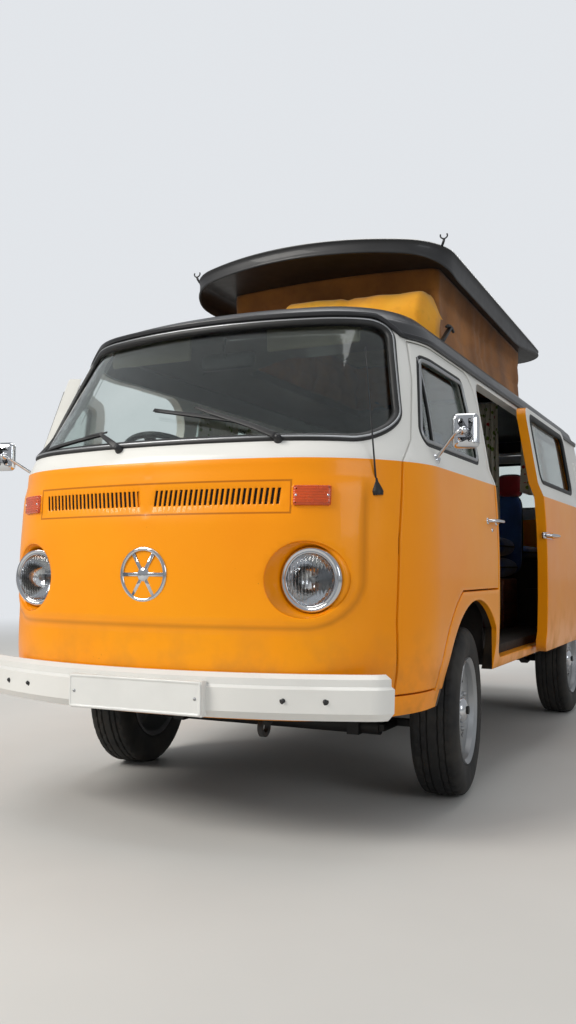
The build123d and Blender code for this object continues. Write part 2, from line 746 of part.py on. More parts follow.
# Sides: sills, arches, pillars and the panels behind the cab doors
with BuildPart() as flank_region:
    with BuildSketch(Plane.XY.offset(SKIRT_Z - WALL)):
        with Locations((0, 0)):
            Rectangle(2 * FAR, TAIL_Y, align=(Align.CENTER, Align.MIN))
    extrude(amount=GUTTER_Z - SKIRT_Z + WALL)
    add(nose_region.part, mode=Mode.SUBTRACT)
with BuildPart() as flank:
    add(shell.part)
    add(flank_region.part, mode=Mode.INTERSECT)
    add(front_arch, mode=Mode.SUBTRACT)
    add(rear_arch, mode=Mode.SUBTRACT)
    with Locations((0, FRONT_AXLE_Y, SKIRT_Z)):
        Box(2 * FAR, FAR, 2 * (SILL_Z - SKIRT_Z), align=(Align.CENTER, Align.MIN, Align.CENTER), mode=Mode.SUBTRACT)
sliding_opening = [
    (SLIDE_FRONT_Y, SLIDE_BOTTOM_Z),
    (SLIDE_REAR_Y, SLIDE_BOTTOM_Z),
    (SLIDE_REAR_Y, SLIDE_TOP_Z),
    (SLIDE_FRONT_Y, SLIDE_TOP_Z),
]
rear_left_window = window_prism(*REAR_WINDOW, 1)
with BuildPart() as side_left:
    add(flank.part)
    add(side_prism(rectangle(-FAR, FAR * 2, 0, FAR), -1), mode=Mode.SUBTRACT)
    add(door_prism(1, PANEL_GAP), mode=Mode.SUBTRACT)
    add(side_prism(sliding_opening, 1, SLIDE_CORNER), mode=Mode.SUBTRACT)
    add(rear_left_window, mode=Mode.SUBTRACT)
side_left.part.label = "side_left"

right_windows = [window_prism(*MIDDLE_WINDOW, -1), window_prism(*REAR_WINDOW, -1)]
with BuildPart() as side_right:
    add(flank.part)
    add(side_prism(rectangle(-FAR, FAR * 2, 0, FAR), 1), mode=Mode.SUBTRACT)
    add(door_prism(-1, PANEL_GAP), mode=Mode.SUBTRACT)
    for window in right_windows:
        add(window, mode=Mode.SUBTRACT)
side_right.part.label = "side_right"

# Cab doors: the left is drawn shut, the right is its mirror image and swings ajar
door_hinge = Axis((DOOR_HINGE_X, DOOR_HINGE_Y, 0), (0, 0, 1))
door_window = side_prism(DOOR_WINDOW, 1, DOOR_WINDOW_CORNER)
with BuildPart() as hinge_pockets:
    for height in DOOR_HINGE_HEIGHTS:
        front, behind, half = HINGE_POCKET
        with Locations((DOOR_HINGE_X, (front + DOOR_HINGE_Y + behind) / 2, height)):
            Box(FAR, DOOR_HINGE_Y + behind - front, 2 * half)
    add(envelope(LOWER_SECTIONS, HINGE_SKIN, ruled=True), mode=Mode.INTERSECT)
with BuildPart() as cab_door_left:
    add(shell.part)
    add(door_prism(1), mode=Mode.INTERSECT)
    add(door_window, mode=Mode.SUBTRACT)
    add(hinge_pockets.part, mode=Mode.SUBTRACT)
    for height in DOOR_HINGE_HEIGHTS:
        low, high = HINGE_BARREL
        with Locations((DOOR_HINGE_X, DOOR_HINGE_Y, height + (low + high) / 2)):
            Cylinder(HINGE_BARREL_R, high - low)
        with Locations((DOOR_HINGE_X, DOOR_HINGE_Y, height + (low + high) / 2)):
            Box(2 * HINGE_ARM_HALF, 2 * HINGE_POCKET[1], high - low, align=(Align.CENTER, Align.MIN, Align.CENTER))
            Cylinder(HINGE_BORE_R, high - low, mode=Mode.SUBTRACT)
with BuildPart() as cab_glass_left:
    add(glass_skin.part)
    add(door_window, mode=Mode.INTERSECT)
with BuildPart() as door_fittings_left:
    with Locations(Location(MIRROR_PLACE, (0, 0, MIRROR_TURN))):
        Box(*MIRROR_SIZE)
    for start, end in ((MIRROR_FOOT, MIRROR_ELBOW), (MIRROR_ELBOW, MIRROR_PLACE)):
        run = Vector(*end) - Vector(*start)
        with BuildSketch(Plane(origin=start, z_dir=run)):
            Circle(MIRROR_ARM_R)
        extrude(amount=run.length + MIRROR_ARM_R / 2)
    with Locations(HANDLE_PLACE):
        Box(*HANDLE_SIZE)
    add(cab_door_left.part, mode=Mode.SUBTRACT)
cab_door_left.part.label = "cab_door_left"
cab_glass_left.part.label = "cab_glass_left"
door_fittings_left.part.label = "door_fittings_left"


def to_right_door(piece):
    """Mirror image of a piece of the left door, swung ajar about the right door's hinge."""
    hinge = Axis((-DOOR_HINGE_X, DOOR_HINGE_Y, 0), (0, 0, 1))
    return mirror(piece, about=Plane.YZ, mode=Mode.PRIVATE).rotate(hinge, RIGHT_DOOR_AJAR)


with BuildPart() as cab_door_right:
    add(to_right_door(cab_door_left.part))
cab_door_right.part.label = "cab_door_right"
with BuildPart() as cab_glass_right:
    add(to_right_door(cab_glass_left.part))
cab_glass_right.part.label = "cab_glass_right"
with BuildPart() as door_fittings_right:
    add(to_right_door(door_fittings_left.part))
door_fittings_right.part.label = "door_fittings_right"

# Sliding door, drawn shut and then moved out and back along its rail
slide = Location((SLIDE_OUT, SLIDE_BACK, 0))
slide_points = rectangle(SLIDE_FRONT_Y, SLIDE_REAR_Y, SLIDE_DOOR_BOTTOM_Z, SLIDE_TOP_Z, -PANEL_GAP)
slide_window = window_prism(SLIDE_FRONT_Y + SLIDE_FRAME, SLIDE_REAR_Y - SLIDE_FRAME, 1)
with BuildPart() as shut_door:
    add(shell.part)
    add(side_prism(slide_points, 1, SLIDE_CORNER), mode=Mode.INTERSECT)
    add(slide_window, mode=Mode.SUBTRACT)
with BuildPart() as shut_pane:
    add(glass_skin.part)
    add(slide_window, mode=Mode.INTERSECT)
with BuildPart() as sliding_door:
    add(shut_door.part.moved(slide))
    with Locations(SLIDE_HANDLE_PLACE):
        Box(*HANDLE_SIZE)
    for z in SLIDE_ARM_HEIGHTS:
        with Locations((SLIDE_ARM_X, SLIDE_ARM_Y, z)):
            Box(*SLIDE_ARM_SIZE)
    add(side_left.part, mode=Mode.SUBTRACT)
sliding_door.part.label = "sliding_door"

# Panes that don't move: windscreen, side windows and the sliding door's
with BuildPart() as fixed_windows:
    for window in (screen_hole, rear_left_window, *right_windows):
        with BuildPart(mode=Mode.PRIVATE) as pane:
            add(glass_skin.part)
            add(window, mode=Mode.INTERSECT)
        add(pane.part)
    add(shut_pane.part.moved(slide))
fixed_windows.part.label = "fixed_windows"
with BuildPart() as tailgate_glass:
    add(glass_skin.part)
    add(front_prism(pane_cut, TAIL_Y, FAR + OVERALL_LENGTH, TAIL_CORNER), mode=Mode.INTERSECT)
tailgate_glass.part.label = "tailgate_glass"

# Floor, wheel housings, seat pedestals, rear bulkhead and deck
with BuildPart() as floor:
    with Locations((0, FLOOR_FRONT_Y, FLOOR_TOP_Z - FLOOR_WALL)):
        Box(2 * FAR, DECK_Y - FLOOR_FRONT_Y, FLOOR_WALL, align=(Align.CENTER, Align.MIN, Align.MIN))
    with Locations((0, DECK_Y - DECK_WALL, FLOOR_TOP_Z)):
        Box(2 * FAR, DECK_WALL, DECK_Z - FLOOR_TOP_Z, align=(Align.CENTER, Align.MIN, Align.MIN))
    with Locations((0, DECK_Y - DECK_WALL, DECK_Z - DECK_WALL)):
        Box(2 * FAR, FAR, DECK_WALL, align=(Align.CENTER, Align.MIN, Align.MIN))
    add(lower_inner, mode=Mode.INTERSECT)
    for side in (-1, 1):
        for front, rear, inner, top in HOUSINGS:
            middle = (side * (inner + HOUSING_OUTER_X) / 2, (front + rear) / 2, (top + FLOOR_TOP_Z) / 2)
            size = (HOUSING_OUTER_X - inner, rear - front, top - FLOOR_TOP_Z)
            with Locations(middle):
                Box(*size)
    for side in (-1, 1):
        outward = Align.MIN if side > 0 else Align.MAX
        for front, rear, inner, top in HOUSINGS:
            with Locations((side * (inner + HOUSING_WALL), (front + rear) / 2, top - HOUSING_WALL)):
                depth = rear - front - 2 * HOUSING_WALL
                Box(FAR, depth, FAR, align=(outward, Align.CENTER, Align.MAX), mode=Mode.SUBTRACT)
        with Locations((side * HOUSING_OUTER_X, DOOR_FRONT[0][0] - 2 * PANEL_GAP)):
            reach = SLIDE_FRONT_Y - DOOR_FRONT[0][0]
            Box(FAR, reach, FAR, align=(outward, Align.MIN, Align.CENTER), mode=Mode.SUBTRACT)
        with Locations((side * HINGE_CLEAR_X, HINGE_CLEAR[0], 0)):
            reach = HINGE_CLEAR[1] - HINGE_CLEAR[0]
            Box(FAR, reach, FAR, align=(outward, Align.MIN, Align.CENTER), mode=Mode.SUBTRACT)
        with Locations((side * SEAT_X, SEAT_Y, FLOOR_TOP_Z)):
            Box(SEAT_BASE, SEAT_BASE, HOUSING_TOP_Z - FLOOR_TOP_Z, align=(Align.CENTER, Align.CENTER, Align.MIN))
floor.part.label = "floor"

# Front axle: twin tubes with arms back to a yoke on each side; it carries the knuckles
with BuildPart() as axles:
    for z in BEAM_HEIGHTS:
        with BuildSketch(Plane.YZ.offset(-ARM_X)):
            with Locations((FRONT_AXLE_Y - BEAM_AHEAD, z)):
                Circle(BEAM_R)
        extrude(amount=2 * ARM_X)
    for side in (-1, 1):
        with Locations((side * TOWER_X, FRONT_AXLE_Y - BEAM_AHEAD, BEAM_HEIGHTS[0] - BEAM_R)):
            tower = FLOOR_TOP_Z - FLOOR_WALL - RAIL_HEIGHT - BEAM_HEIGHTS[0] + BEAM_R
            Box(TOWER_WIDTH, TOWER_DEPTH, tower, align=(Align.CENTER, Align.CENTER, Align.MIN))
        for z in BEAM_HEIGHTS:
            with Locations((side * ARM_X, FRONT_AXLE_Y - BEAM_AHEAD / 2, z)):
                Box(ARM_WIDTH, BEAM_AHEAD + ARM_WIDTH, ARM_HEIGHT)
            with Locations((side * (ARM_X + KINGPIN_X) / 2, FRONT_AXLE_Y, z)):
                Box(KINGPIN_X - ARM_X + ARM_WIDTH, ARM_WIDTH, ARM_HEIGHT)
        inner = GEARBOX_HALF
        with BuildSketch(Plane.YZ.offset(side * inner)):
            with Locations((REAR_AXLE_Y, AXLE_Z)):
                Circle(HALF_SHAFT_R)
        extrude(amount=side * (TYRE_X + RIM_OFFSET - inner - RUNNING_GAP - DISC_WALL))
        with BuildSketch(Plane.YZ.offset(side * (TYRE_X + RIM_OFFSET - RUNNING_GAP - DISC_WALL))):
            with Locations((REAR_AXLE_Y, AXLE_Z)):
                Circle(SPINDLE_R)
        extrude(amount=side * SPINDLE_LENGTH)
        with BuildSketch(Plane.YZ.offset(side * SWING_ARM_X)):
            with BuildLine():
                Polyline(*SWING_ARM, close=True)
            make_face()
        extrude(amount=side * SWING_ARM_WALL)
    front, rear, bottom, top = TORSION_TUBE
    with Locations((0, (front + rear) / 2, (bottom + top) / 2)):
        Box(2 * (SWING_ARM_X + SWING_ARM_WALL), rear - front, top - bottom)
axles.part.label = "axles"

kingpin_axis = {side: Axis((side * KINGPIN_X, FRONT_AXLE_Y, 0), (0, 0, 1)) for side in (-1, 1)}
names = {-1: "right", 1: "left"}
knuckles = {}
for side in (-1, 1):
    with BuildPart() as knuckle:
        low, high = BEAM_HEIGHTS[0] + ARM_HEIGHT / 2 + PIN_GAP, BEAM_HEIGHTS[1] - ARM_HEIGHT / 2 - PIN_GAP
        with BuildSketch(Plane.XY.offset(low)):
            with Locations((side * KINGPIN_X, FRONT_AXLE_Y)):
                Circle(KINGPIN_R)
        extrude(amount=high - low)
        with BuildSketch(Plane.YZ.offset(side * KINGPIN_X)):
            with Locations((FRONT_AXLE_Y, AXLE_Z)):
                Circle(HALF_SHAFT_R)
        extrude(amount=side * (TYRE_X + RIM_OFFSET - KINGPIN_X - RUNNING_GAP - DISC_WALL))
        with BuildSketch(Plane.YZ.offset(side * KINGPIN_X)):
            with Locations((FRONT_AXLE_Y, AXLE_Z)):
                Circle(SPINDLE_R)
        extrude(amount=side * (TYRE_X + RIM_OFFSET - KINGPIN_X - RUNNING_GAP - DISC_WALL + SPINDLE_LENGTH))
    knuckle.part.label = "knuckle_" + names[side]
    knuckles[side] = knuckle

# Wheels: each is turned about the axle through its own middle, then placed
with BuildPart() as tyre_shape:
    with BuildSketch(Plane.XY):
        with BuildLine():
            Polyline(*[(x, r) for x, r in TYRE_HALF], *[(-x, r) for x, r in reversed(TYRE_HALF)], close=True)
        make_face()
    revolve(axis=Axis.X)
with BuildPart() as rim_shape:
    with BuildSketch(Plane.XY):
        with BuildLine():
            Polyline(*RIM_PROFILE, close=True)
        make_face()
    revolve(axis=Axis.X)

wheels = {}
for end, axle_y in (("front", FRONT_AXLE_Y), ("rear", REAR_AXLE_Y)):
    for side in (-1, 1):
        spot = Location((side * TYRE_X, axle_y, AXLE_Z))
        for name, shape in (("tyre", tyre_shape.part), ("rim", rim_shape.part)):
            if side < 0:
                shape = mirror(shape, about=Plane.YZ)
            with BuildPart() as wheel:
                add(shape.moved(spot))
            wheel.part.label = "_".join((name, end, names[side]))
            wheels[wheel.part.label] = wheel

# Chrome trim on the nose (lamp rims, badge ring, aerial), then lamps and wipers
with BuildPart() as badge_ring:
    with BuildSketch(facing_forward(0, BADGE_Y, BADGE_Z)):
        Circle(BADGE_R)
        Circle(BADGE_R - BADGE_BAND, mode=Mode.SUBTRACT)
        Circle(BADGE_HUB_R)
        for turn in BADGE_SPOKES:
            with Locations(Location((0, 0, 0), (0, 0, turn))):
                Rectangle(2 * BADGE_R - BADGE_BAND, BADGE_SPOKE)
    extrude(amount=BADGE_Y - BADGE_BACK_Y)
    add(lower_outer, mode=Mode.SUBTRACT)
with BuildPart() as nose_trim:
    for side in (-1, 1):
        with BuildSketch(facing_forward(side * LAMP_X, LAMP_Y + RIM_DEPTH, LAMP_Z)):
            Circle(LAMP_RIM_R)
            Circle(LAMP_LENS_R, mode=Mode.SUBTRACT)
        extrude(amount=RIM_DEPTH)
    add(badge_ring.part)
    with BuildSketch(Plane(origin=AERIAL_FOOT, z_dir=AERIAL_LEAN)):
        Circle(AERIAL_BASE_R)
    extrude(amount=AERIAL_BASE)
    with BuildSketch(Plane(origin=AERIAL_FOOT, z_dir=AERIAL_LEAN)):
        Circle(AERIAL_R)
    extrude(amount=AERIAL_LENGTH)
    add(nose.part, mode=Mode.SUBTRACT)
nose_trim.part.label = "nose_trim"
with BuildPart() as headlamp_lenses:
    for side in (-1, 1):
        with BuildSketch(facing_forward(side * LAMP_X, LAMP_Y + RIM_DEPTH, LAMP_Z)):
            Circle(LAMP_LENS_R)
        extrude(amount=LENS_DEPTH)
        with BuildSketch(facing_forward(side * LAMP_X, LAMP_Y + BOSS_DEPTH, LAMP_Z)):
            Circle(LAMP_LENS_R)
        extrude(amount=BOSS_DEPTH - RIM_DEPTH)
headlamp_lenses.part.label = "headlamp_lenses"
with BuildPart() as indicators:
    with Locations(*[fitting_place(side, *INDICATOR) for side in (-1, 1)]):
        Box(*INDICATOR_SIZE)
indicators.part.label = "indicators"
with BuildPart() as tail_lamps:
    for side in (-1, 1):
        with Locations((side * TAIL_LAMP_X, TAIL_LAMP_Y, TAIL_LAMP_Z)):
            Box(*TAIL_LAMP_SIZE)
tail_lamps.part.label = "tail_lamps"

with BuildPart() as wipers:
    for pivot, elbow, blade in WIPERS:
        with BuildSketch(Plane(origin=pivot, z_dir=Vector(0, -1, 0))):
            Circle(WIPER_PIVOT_R)
        extrude(amount=WIPER_PIVOT, both=True)
        for start, end, width in ((pivot, elbow, WIPER_ARM), (*blade, WIPER_BLADE)):
            run = Vector(*end) - Vector(*start)
            with BuildSketch(Plane(origin=start, z_dir=run)):
                Rectangle(width, width)
            extrude(amount=run.length)
    add(nose.part, mode=Mode.SUBTRACT)
    add(fixed_windows.part, mode=Mode.SUBTRACT)
wipers.part.label = "wipers"

# Cab: dashboard with the steering column, steering wheel and seats
with BuildPart() as room:
    add(lower_inner)
    add(upper_inner)
with BuildPart() as dashboard:
    with Locations((0, (DASH_FRONT_Y + DASH_REAR_Y) / 2, (DASH_LOW_Z + DASH_TOP_Z) / 2)):
        Box(2 * DASH_HALF, DASH_REAR_Y - DASH_FRONT_Y, DASH_TOP_Z - DASH_LOW_Z)
    add(room.part, mode=Mode.INTERSECT)
    with BuildSketch(Plane(origin=WHEEL_PLACE, z_dir=WHEEL_AXIS).offset(-HUB_DEPTH / 2 - PIN_GAP)):
        Circle(COLUMN_R)
    extrude(amount=-COLUMN_LENGTH)
    with BuildSketch(Plane(origin=WHEEL_PLACE, z_dir=WHEEL_AXIS).offset(-HUB_DEPTH / 2 - PIN_GAP)):
        Circle(HUB_SPINDLE_R)
    extrude(amount=HUB_DEPTH / 2)
    add(lamp_boss.part, mode=Mode.SUBTRACT)
dashboard.part.label = "dashboard"
with BuildPart() as steering_wheel:
    wheel_plane = Plane(origin=WHEEL_PLACE, z_dir=WHEEL_AXIS)
    with BuildSketch(Plane(origin=Vector(*WHEEL_PLACE) + wheel_plane.x_dir * WHEEL_R, z_dir=wheel_plane.y_dir)):
        Circle(WHEEL_GRIP_R)
    revolve(axis=Axis(WHEEL_PLACE, WHEEL_AXIS))
    with BuildSketch(wheel_plane.offset(-HUB_DEPTH / 2)):
        Circle(WHEEL_HUB_R)
    extrude(amount=HUB_DEPTH)
    with Locations(Location(wheel_plane)):
        Box(2 * WHEEL_R, WHEEL_SPOKE, WHEEL_GRIP_R)
    with BuildSketch(wheel_plane.offset(-HUB_DEPTH / 2)):
        Circle(HUB_SPINDLE_R + SPINDLE_GAP)
    extrude(amount=HUB_DEPTH / 2, mode=Mode.SUBTRACT)
steering_wheel.part.label = "steering_wheel"

with BuildPart() as seats:
    for side in (-1, 1):
        with BuildSketch(Plane.YZ.offset(side * CAB_SEAT_X - CAB_SEAT_WIDTH / 2)):
            with BuildLine():
                Polyline(*CAB_SEAT, close=True)
            make_face()
        extrude(amount=CAB_SEAT_WIDTH)
    for front, rear, bottom, top in REAR_SEAT:
        with Locations(((REAR_SEAT_LEFT + REAR_SEAT_RIGHT) / 2, (front + rear) / 2, (bottom + top) / 2)):
            Box(REAR_SEAT_LEFT - REAR_SEAT_RIGHT, rear - front, top - bottom)
seats.part.label = "seats"
with BuildPart() as cabinets:
    for right, left, front, rear, bottom, top in CABINETS:
        with Locations(((left + right) / 2, (front + rear) / 2, (bottom + top) / 2)):
            Box(left - right, rear - front, top - bottom)
    add(room.part, mode=Mode.INTERSECT)
cabinets.part.label = "cabinets"

# Engine: a plain block with the gearbox, silencer and tail pipe
with BuildPart() as engine:
    for half, front, rear, bottom, top in ENGINE:
        with Locations((0, (front + rear) / 2, (bottom + top) / 2)):
            Box(2 * half, rear - front, top - bottom)
    front, rear, bottom, top = ENGINE_CARRIER
    with Locations((0, (front + rear) / 2, (bottom + top) / 2)):
        Box(2 * RAIL_X - RAIL_WIDTH, rear - front, top - bottom)
    with BuildSketch(Plane.YZ.offset(-SILENCER_HALF)):
        with Locations((SILENCER_Y, SILENCER_Z)):
            Circle(SILENCER_R)
    extrude(amount=2 * SILENCER_HALF)
    for side in (-1, 1):
        with BuildSketch(Plane.XZ.offset(-ENGINE[0][2])):
            with Locations((side * PIPE_X, SILENCER_Z)):
                Circle(PIPE_R)
        extrude(amount=ENGINE[0][2] - SILENCER_Y)
    with BuildSketch(Plane.XZ.offset(-SILENCER_Y)):
        with Locations((PIPE_X, SILENCER_Z - PIPE_DROP)):
            Circle(PIPE_R)
    extrude(amount=-(TAIL_PIPE_Y - SILENCER_Y))
engine.part.label = "engine"

# Rising roof: canvas, lid shell with its dark rim, and the catches that hold it down
with BuildPart() as canvas:
    with BuildSketch(Plane.XY.offset(CANVAS_LOW_Z)):
        with Locations((0, (CANVAS_FRONT_Y + CANVAS_REAR_Y) / 2)):
            Rectangle(2 * CANVAS_HALF, CANVAS_REAR_Y - CANVAS_FRONT_Y)
            offset(amount=-CANVAS_WALL, mode=Mode.SUBTRACT)
    extrude(amount=FAR)
    add(roof_outer, mode=Mode.SUBTRACT)
    with Locations(LID_TILT * Location((0, 0, LID_CEILING))):
        Box(2 * FAR, 4 * FAR, FAR, align=(Align.CENTER, Align.CENTER, Align.MIN), mode=Mode.SUBTRACT)
canvas.part.label = "canvas"


def lid_layers(rows, inset=0):
    """Part of the lid through plan outlines, before it is tilted. Rows: height, set in, more at the front."""
    front, *plan = LID_PLAN
    with BuildPart() as layers:
        for height, step, back in rows:
            with BuildSketch(Plane.XY.offset(height)):
                outline(front + back, *plan, step + inset)
        loft(ruled=True)
    return layers.part


lid_hollow = lid_layers(LID_HOLLOW_ROWS, LID_WALL)
with BuildPart() as lid_rim:
    add(lid_layers(LID_RIM_ROWS))
    add(lid_hollow, mode=Mode.SUBTRACT)
with BuildPart() as lid_shell:
    add(lid_layers(LID_SHELL_ROWS))
    add(lid_hollow, mode=Mode.SUBTRACT)
with BuildPart() as poptop_rim:
    add(lid_rim.part.moved(LID_TILT))
poptop_rim.part.label = "poptop_rim"
with BuildPart() as poptop_shell:
    add(lid_shell.part.moved(LID_TILT))
poptop_shell.part.label = "poptop_shell"

with BuildPart() as roof_catches:
    for side in (-1, 1):
        foot, head = [(side * x, y, z) for x, y, z in CATCH]
        run = Vector(*head) - Vector(*foot)
        with BuildSketch(Plane(origin=foot, z_dir=run)):
            Circle(CATCH_R)
        extrude(amount=run.length)
        with Locations(head):
            Box(CATCH_BAR[0], CATCH_BAR[1], CATCH_BAR[2])
    add(roof.part, mode=Mode.SUBTRACT)
roof_catches.part.label = "roof_catches"

# Front wheels and knuckles turned to the steering angle at rest
for side in (-1, 1):
    turned = [knuckles[side], wheels["tyre_front_" + names[side]], wheels["rim_front_" + names[side]]]
    for piece in turned:
        label = piece.part.label
        piece.part = piece.part.rotate(kingpin_axis[side], STEER_AT_REST)
        piece.part.label = label

pieces = [nose, side_left, side_right, tail, roof, floor, chassis, fixed_windows, sliding_door]
pieces += [front_bumper, rear_bumper, nose_trim, headlamp_lenses, indicators, tail_lamps, wipers]
pieces += [dashboard, steering_wheel, seats, cabinets, engine, axles]
pieces += [canvas, poptop_rim, poptop_shell, roof_catches, *knuckles.values(), *wheels.values()]
pieces += [cab_door_left, cab_glass_left, door_fittings_left]
pieces += [cab_door_right, cab_glass_right, door_fittings_right, tailgate, tailgate_glass, engine_lid]

# The origin is the middle of the whole van's footprint on the ground
boxes = [piece.part.bounding_box() for piece in pieces]
middle_x = (min(box.min.X for box in boxes) + max(box.max.X for box in boxes)) / 2
middle_y = (min(box.min.Y for box in boxes) + max(box.max.Y for box in boxes)) / 2
ground = min(box.min.Z for box in boxes)
print("origin", middle_x, middle_y, ground)
for piece in pieces:
    label = piece.part.label
    placed = piece.part.moved(Location((-middle_x, -middle_y, -ground)))
    placed.label = label
    export_step(placed, f"parts/{label}.step")
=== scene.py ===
"""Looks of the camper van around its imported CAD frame.

Places are written as in the part's source, in millimetres: x to the van's left from its mid-plane,
y rearwards from the front bumper's face, z up from the ground. place() turns them into the frame.
"""

import math
from contextlib import contextmanager

import bmesh
import bpy
import numpy as np
from mathutils import Matrix, Vector
from mathutils.geometry import delaunay_2d_cdt


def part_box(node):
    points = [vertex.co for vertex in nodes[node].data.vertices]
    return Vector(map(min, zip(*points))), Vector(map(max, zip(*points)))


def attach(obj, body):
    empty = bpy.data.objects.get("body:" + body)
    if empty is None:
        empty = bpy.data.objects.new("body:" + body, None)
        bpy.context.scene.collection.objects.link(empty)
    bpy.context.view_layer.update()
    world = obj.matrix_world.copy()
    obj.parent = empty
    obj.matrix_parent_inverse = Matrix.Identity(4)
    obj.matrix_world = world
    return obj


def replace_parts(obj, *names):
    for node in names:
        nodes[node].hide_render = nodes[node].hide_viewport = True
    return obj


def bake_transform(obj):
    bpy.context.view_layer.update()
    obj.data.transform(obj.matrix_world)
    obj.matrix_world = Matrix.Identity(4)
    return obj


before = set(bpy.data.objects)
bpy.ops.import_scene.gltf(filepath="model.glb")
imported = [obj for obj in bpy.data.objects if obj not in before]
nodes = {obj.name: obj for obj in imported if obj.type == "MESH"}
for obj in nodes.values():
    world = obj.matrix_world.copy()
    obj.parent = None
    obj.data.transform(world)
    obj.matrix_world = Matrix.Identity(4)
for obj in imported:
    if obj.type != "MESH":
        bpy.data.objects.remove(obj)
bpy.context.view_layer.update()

MM = 0.001
HANDS = ((1, "left"), (-1, "right"))

# ---------------------------------------------------------------- sizes shared with the CAD source

FRONT_AXLE_Y = 1090
REAR_AXLE_Y = 3490
AXLE_Z = 325
BELT_Z = 1232
GUTTER_Z = 1712
REAR_ARC = 3500
REAR_CORNER = 240
PANEL_GAP = 6

# Body sections. Columns: height, foremost y, front arc, corner radius, half width, rearmost y
LOWER_SECTIONS = [
    (400, 60, 2000, 500, 812, 4425),
    (480, 55, 2000, 500, 829, 4434),
    (580, 51, 2000, 502, 843, 4440),
    (740, 54, 2000, 515, 848, 4444),
    (920, 60, 1980, 515, 849, 4444),
    (1080, 68, 1960, 518, 845, 4436),
    (BELT_Z, 76, 1950, 520, 836, 4420),
]
UPPER_SECTIONS = [
    LOWER_SECTIONS[-1],
    (1298, 112, 1900, 480, 810, 4400),
    (GUTTER_Z, 395, 1490, 400, 742, 4290),
    (1785, 440, 1480, 400, 716, 4262),
]
ROOF_SECTIONS = [
    UPPER_SECTIONS[-1],
    (1840, 530, 1460, 360, 660, 4215),
    (1890, 715, 1430, 300, 564, 4100),
    (1930, 920, 1400, 220, 424, 3930),
    (1953, 1110, 1400, 130, 254, 3760),
]

DOOR_FRONT = [(352, 470), (350, 700), (366, 970), (403, 1232), (488, 1314), (615, 1545), (672, 1698)]
DOOR_REAR_Y = 1420
DOOR_TOP_Z = 1698
DOOR_CORNER = 150
DOOR_STEP_Z = 797
DOOR_ARCH_R = 515
DOOR_SILL_Z = 470
DOOR_HINGE = (785, 388)
RIGHT_DOOR_AJAR = 25
DOOR_WINDOW = [(536, 1310), (700, 1648), (1215, 1648), (1290, 1310)]
DOOR_WINDOW_CORNER = 42
WINDOW_BOTTOM = 1310
WINDOW_TOP = 1648
WINDOW_CORNER = 60
MIDDLE_WINDOW = (1540, 2420)
REAR_WINDOW = (2650, 3610)
FRONT_ARCH = (431, 305, 756)
REAR_ARCH = (395, 352, 690)
SILL_Z = 458
SLIDE_FRONT_Y = 1450
SLIDE_REAR_Y = 2512
SLIDE_TOP_Z = 1690
SLIDE_BOTTOM_Z = 500
SLIDE_DOOR_BOTTOM_Z = 468
SLIDE_MOVE = (72, 660)
SLIDE_CORNER = 70
SLIDE_FRAME = 78
SCREEN = (1300, 1768, 768, 655)
SCREEN_CORNER = 95
TAIL_Y = 4150
TAIL_FOOT_Z = 412.0
TAILGATE = (1000, 1690, 640, 560)
TAILGATE_WINDOW = (1310, 1640, 530, 480)
ENGINE_LID = (572, 935, 470, 470)
TAIL_CORNER = 60
TAIL_LAMP = (745, 985)
LAMP = (553, 168, 842)
TYRE_X = 722
KINGPIN_X = 640
STEER_AT_REST = 6
SLOT_Z = 1108
SLOT_HEIGHT = 52
SLOT_WIDTH = 9
SLOT_PITCH = 18.6
SLOT_GROUPS = [(-455, 23), (35, 24)]
INDICATOR = (560, 1108)

# The nose's raised plateau round the lamps, and the sunk band in it with the air slots
PLATEAU_CORNER = 150.0
PLATEAU_LOW = 694.0
PLATEAU_HALF = 700.0
PLATEAU_HIGH = 1190.0
PLATEAU_RISE = 9.0
BAND_HALF = 503
BAND_LOW = 1054
BAND_HIGH = 1158
BAND_DEPTH = 6.0

# ---------------------------------------------------------------- camera, solved from the photograph

CAMERA_PLACE = (1810, -2553, 878)
CAMERA_YAW = 26.14
CAMERA_PITCH = 3.41
CAMERA_ROLL = -0.14
CAMERA_LENS = 33.14

# The frame's origin in the drawing's millimetres, found from the bumper, which is even about the mid-plane
bumper_low, bumper_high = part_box("front_bumper")
MIDDLE_X = -(bumper_low.x + bumper_high.x) / 2 / MM
FRONT_FACE_Y = -4 - bumper_low.y / MM


def place(x, y, z):
    """A drawing place in millimetres as a point of the frame in metres."""
    return Vector(((x - MIDDLE_X) * MM, (y - FRONT_FACE_Y) * MM, z * MM))


def placed(points):
    """Rows of drawing places as an array of points of the frame."""
    return (np.asarray(points, float) - (MIDDLE_X, FRONT_FACE_Y, 0)) * MM


def srgb(red, green, blue):
    """A colour given as it is seen, 0 to 255, as linear values."""
    return tuple(((c / 255 + 0.055) / 1.055) ** 2.4 if c > 10 else c / 255 / 12.92 for c in (red, green, blue)) + (1,)


# ---------------------------------------------------------------- materials

ORANGE = srgb(250, 150, 4)
WHITE = srgb(232, 231, 226)
ROOF_DARK = srgb(44, 45, 48)
GLASS_IOR = 1.45

# Where the paint changes, in metres: half width and radii of the arches' dark paint, the roof's dark edge, the nose's
# dark field and its higher sides. EVERYWHERE is above the van, for a paint that has no white.
ARCH_HALF = 0.826
ARCH_DARK_REACH = ((FRONT_AXLE_Y, 0.452), (REAR_AXLE_Y, 0.42))
ROOF_DARK_Z = 1.705
NOSE_DARK_HALF, NOSE_DARK_Z, NOSE_DARK_SIDE_Z = 0.62, 1.6, 1.742
EVERYWHERE = 9.0


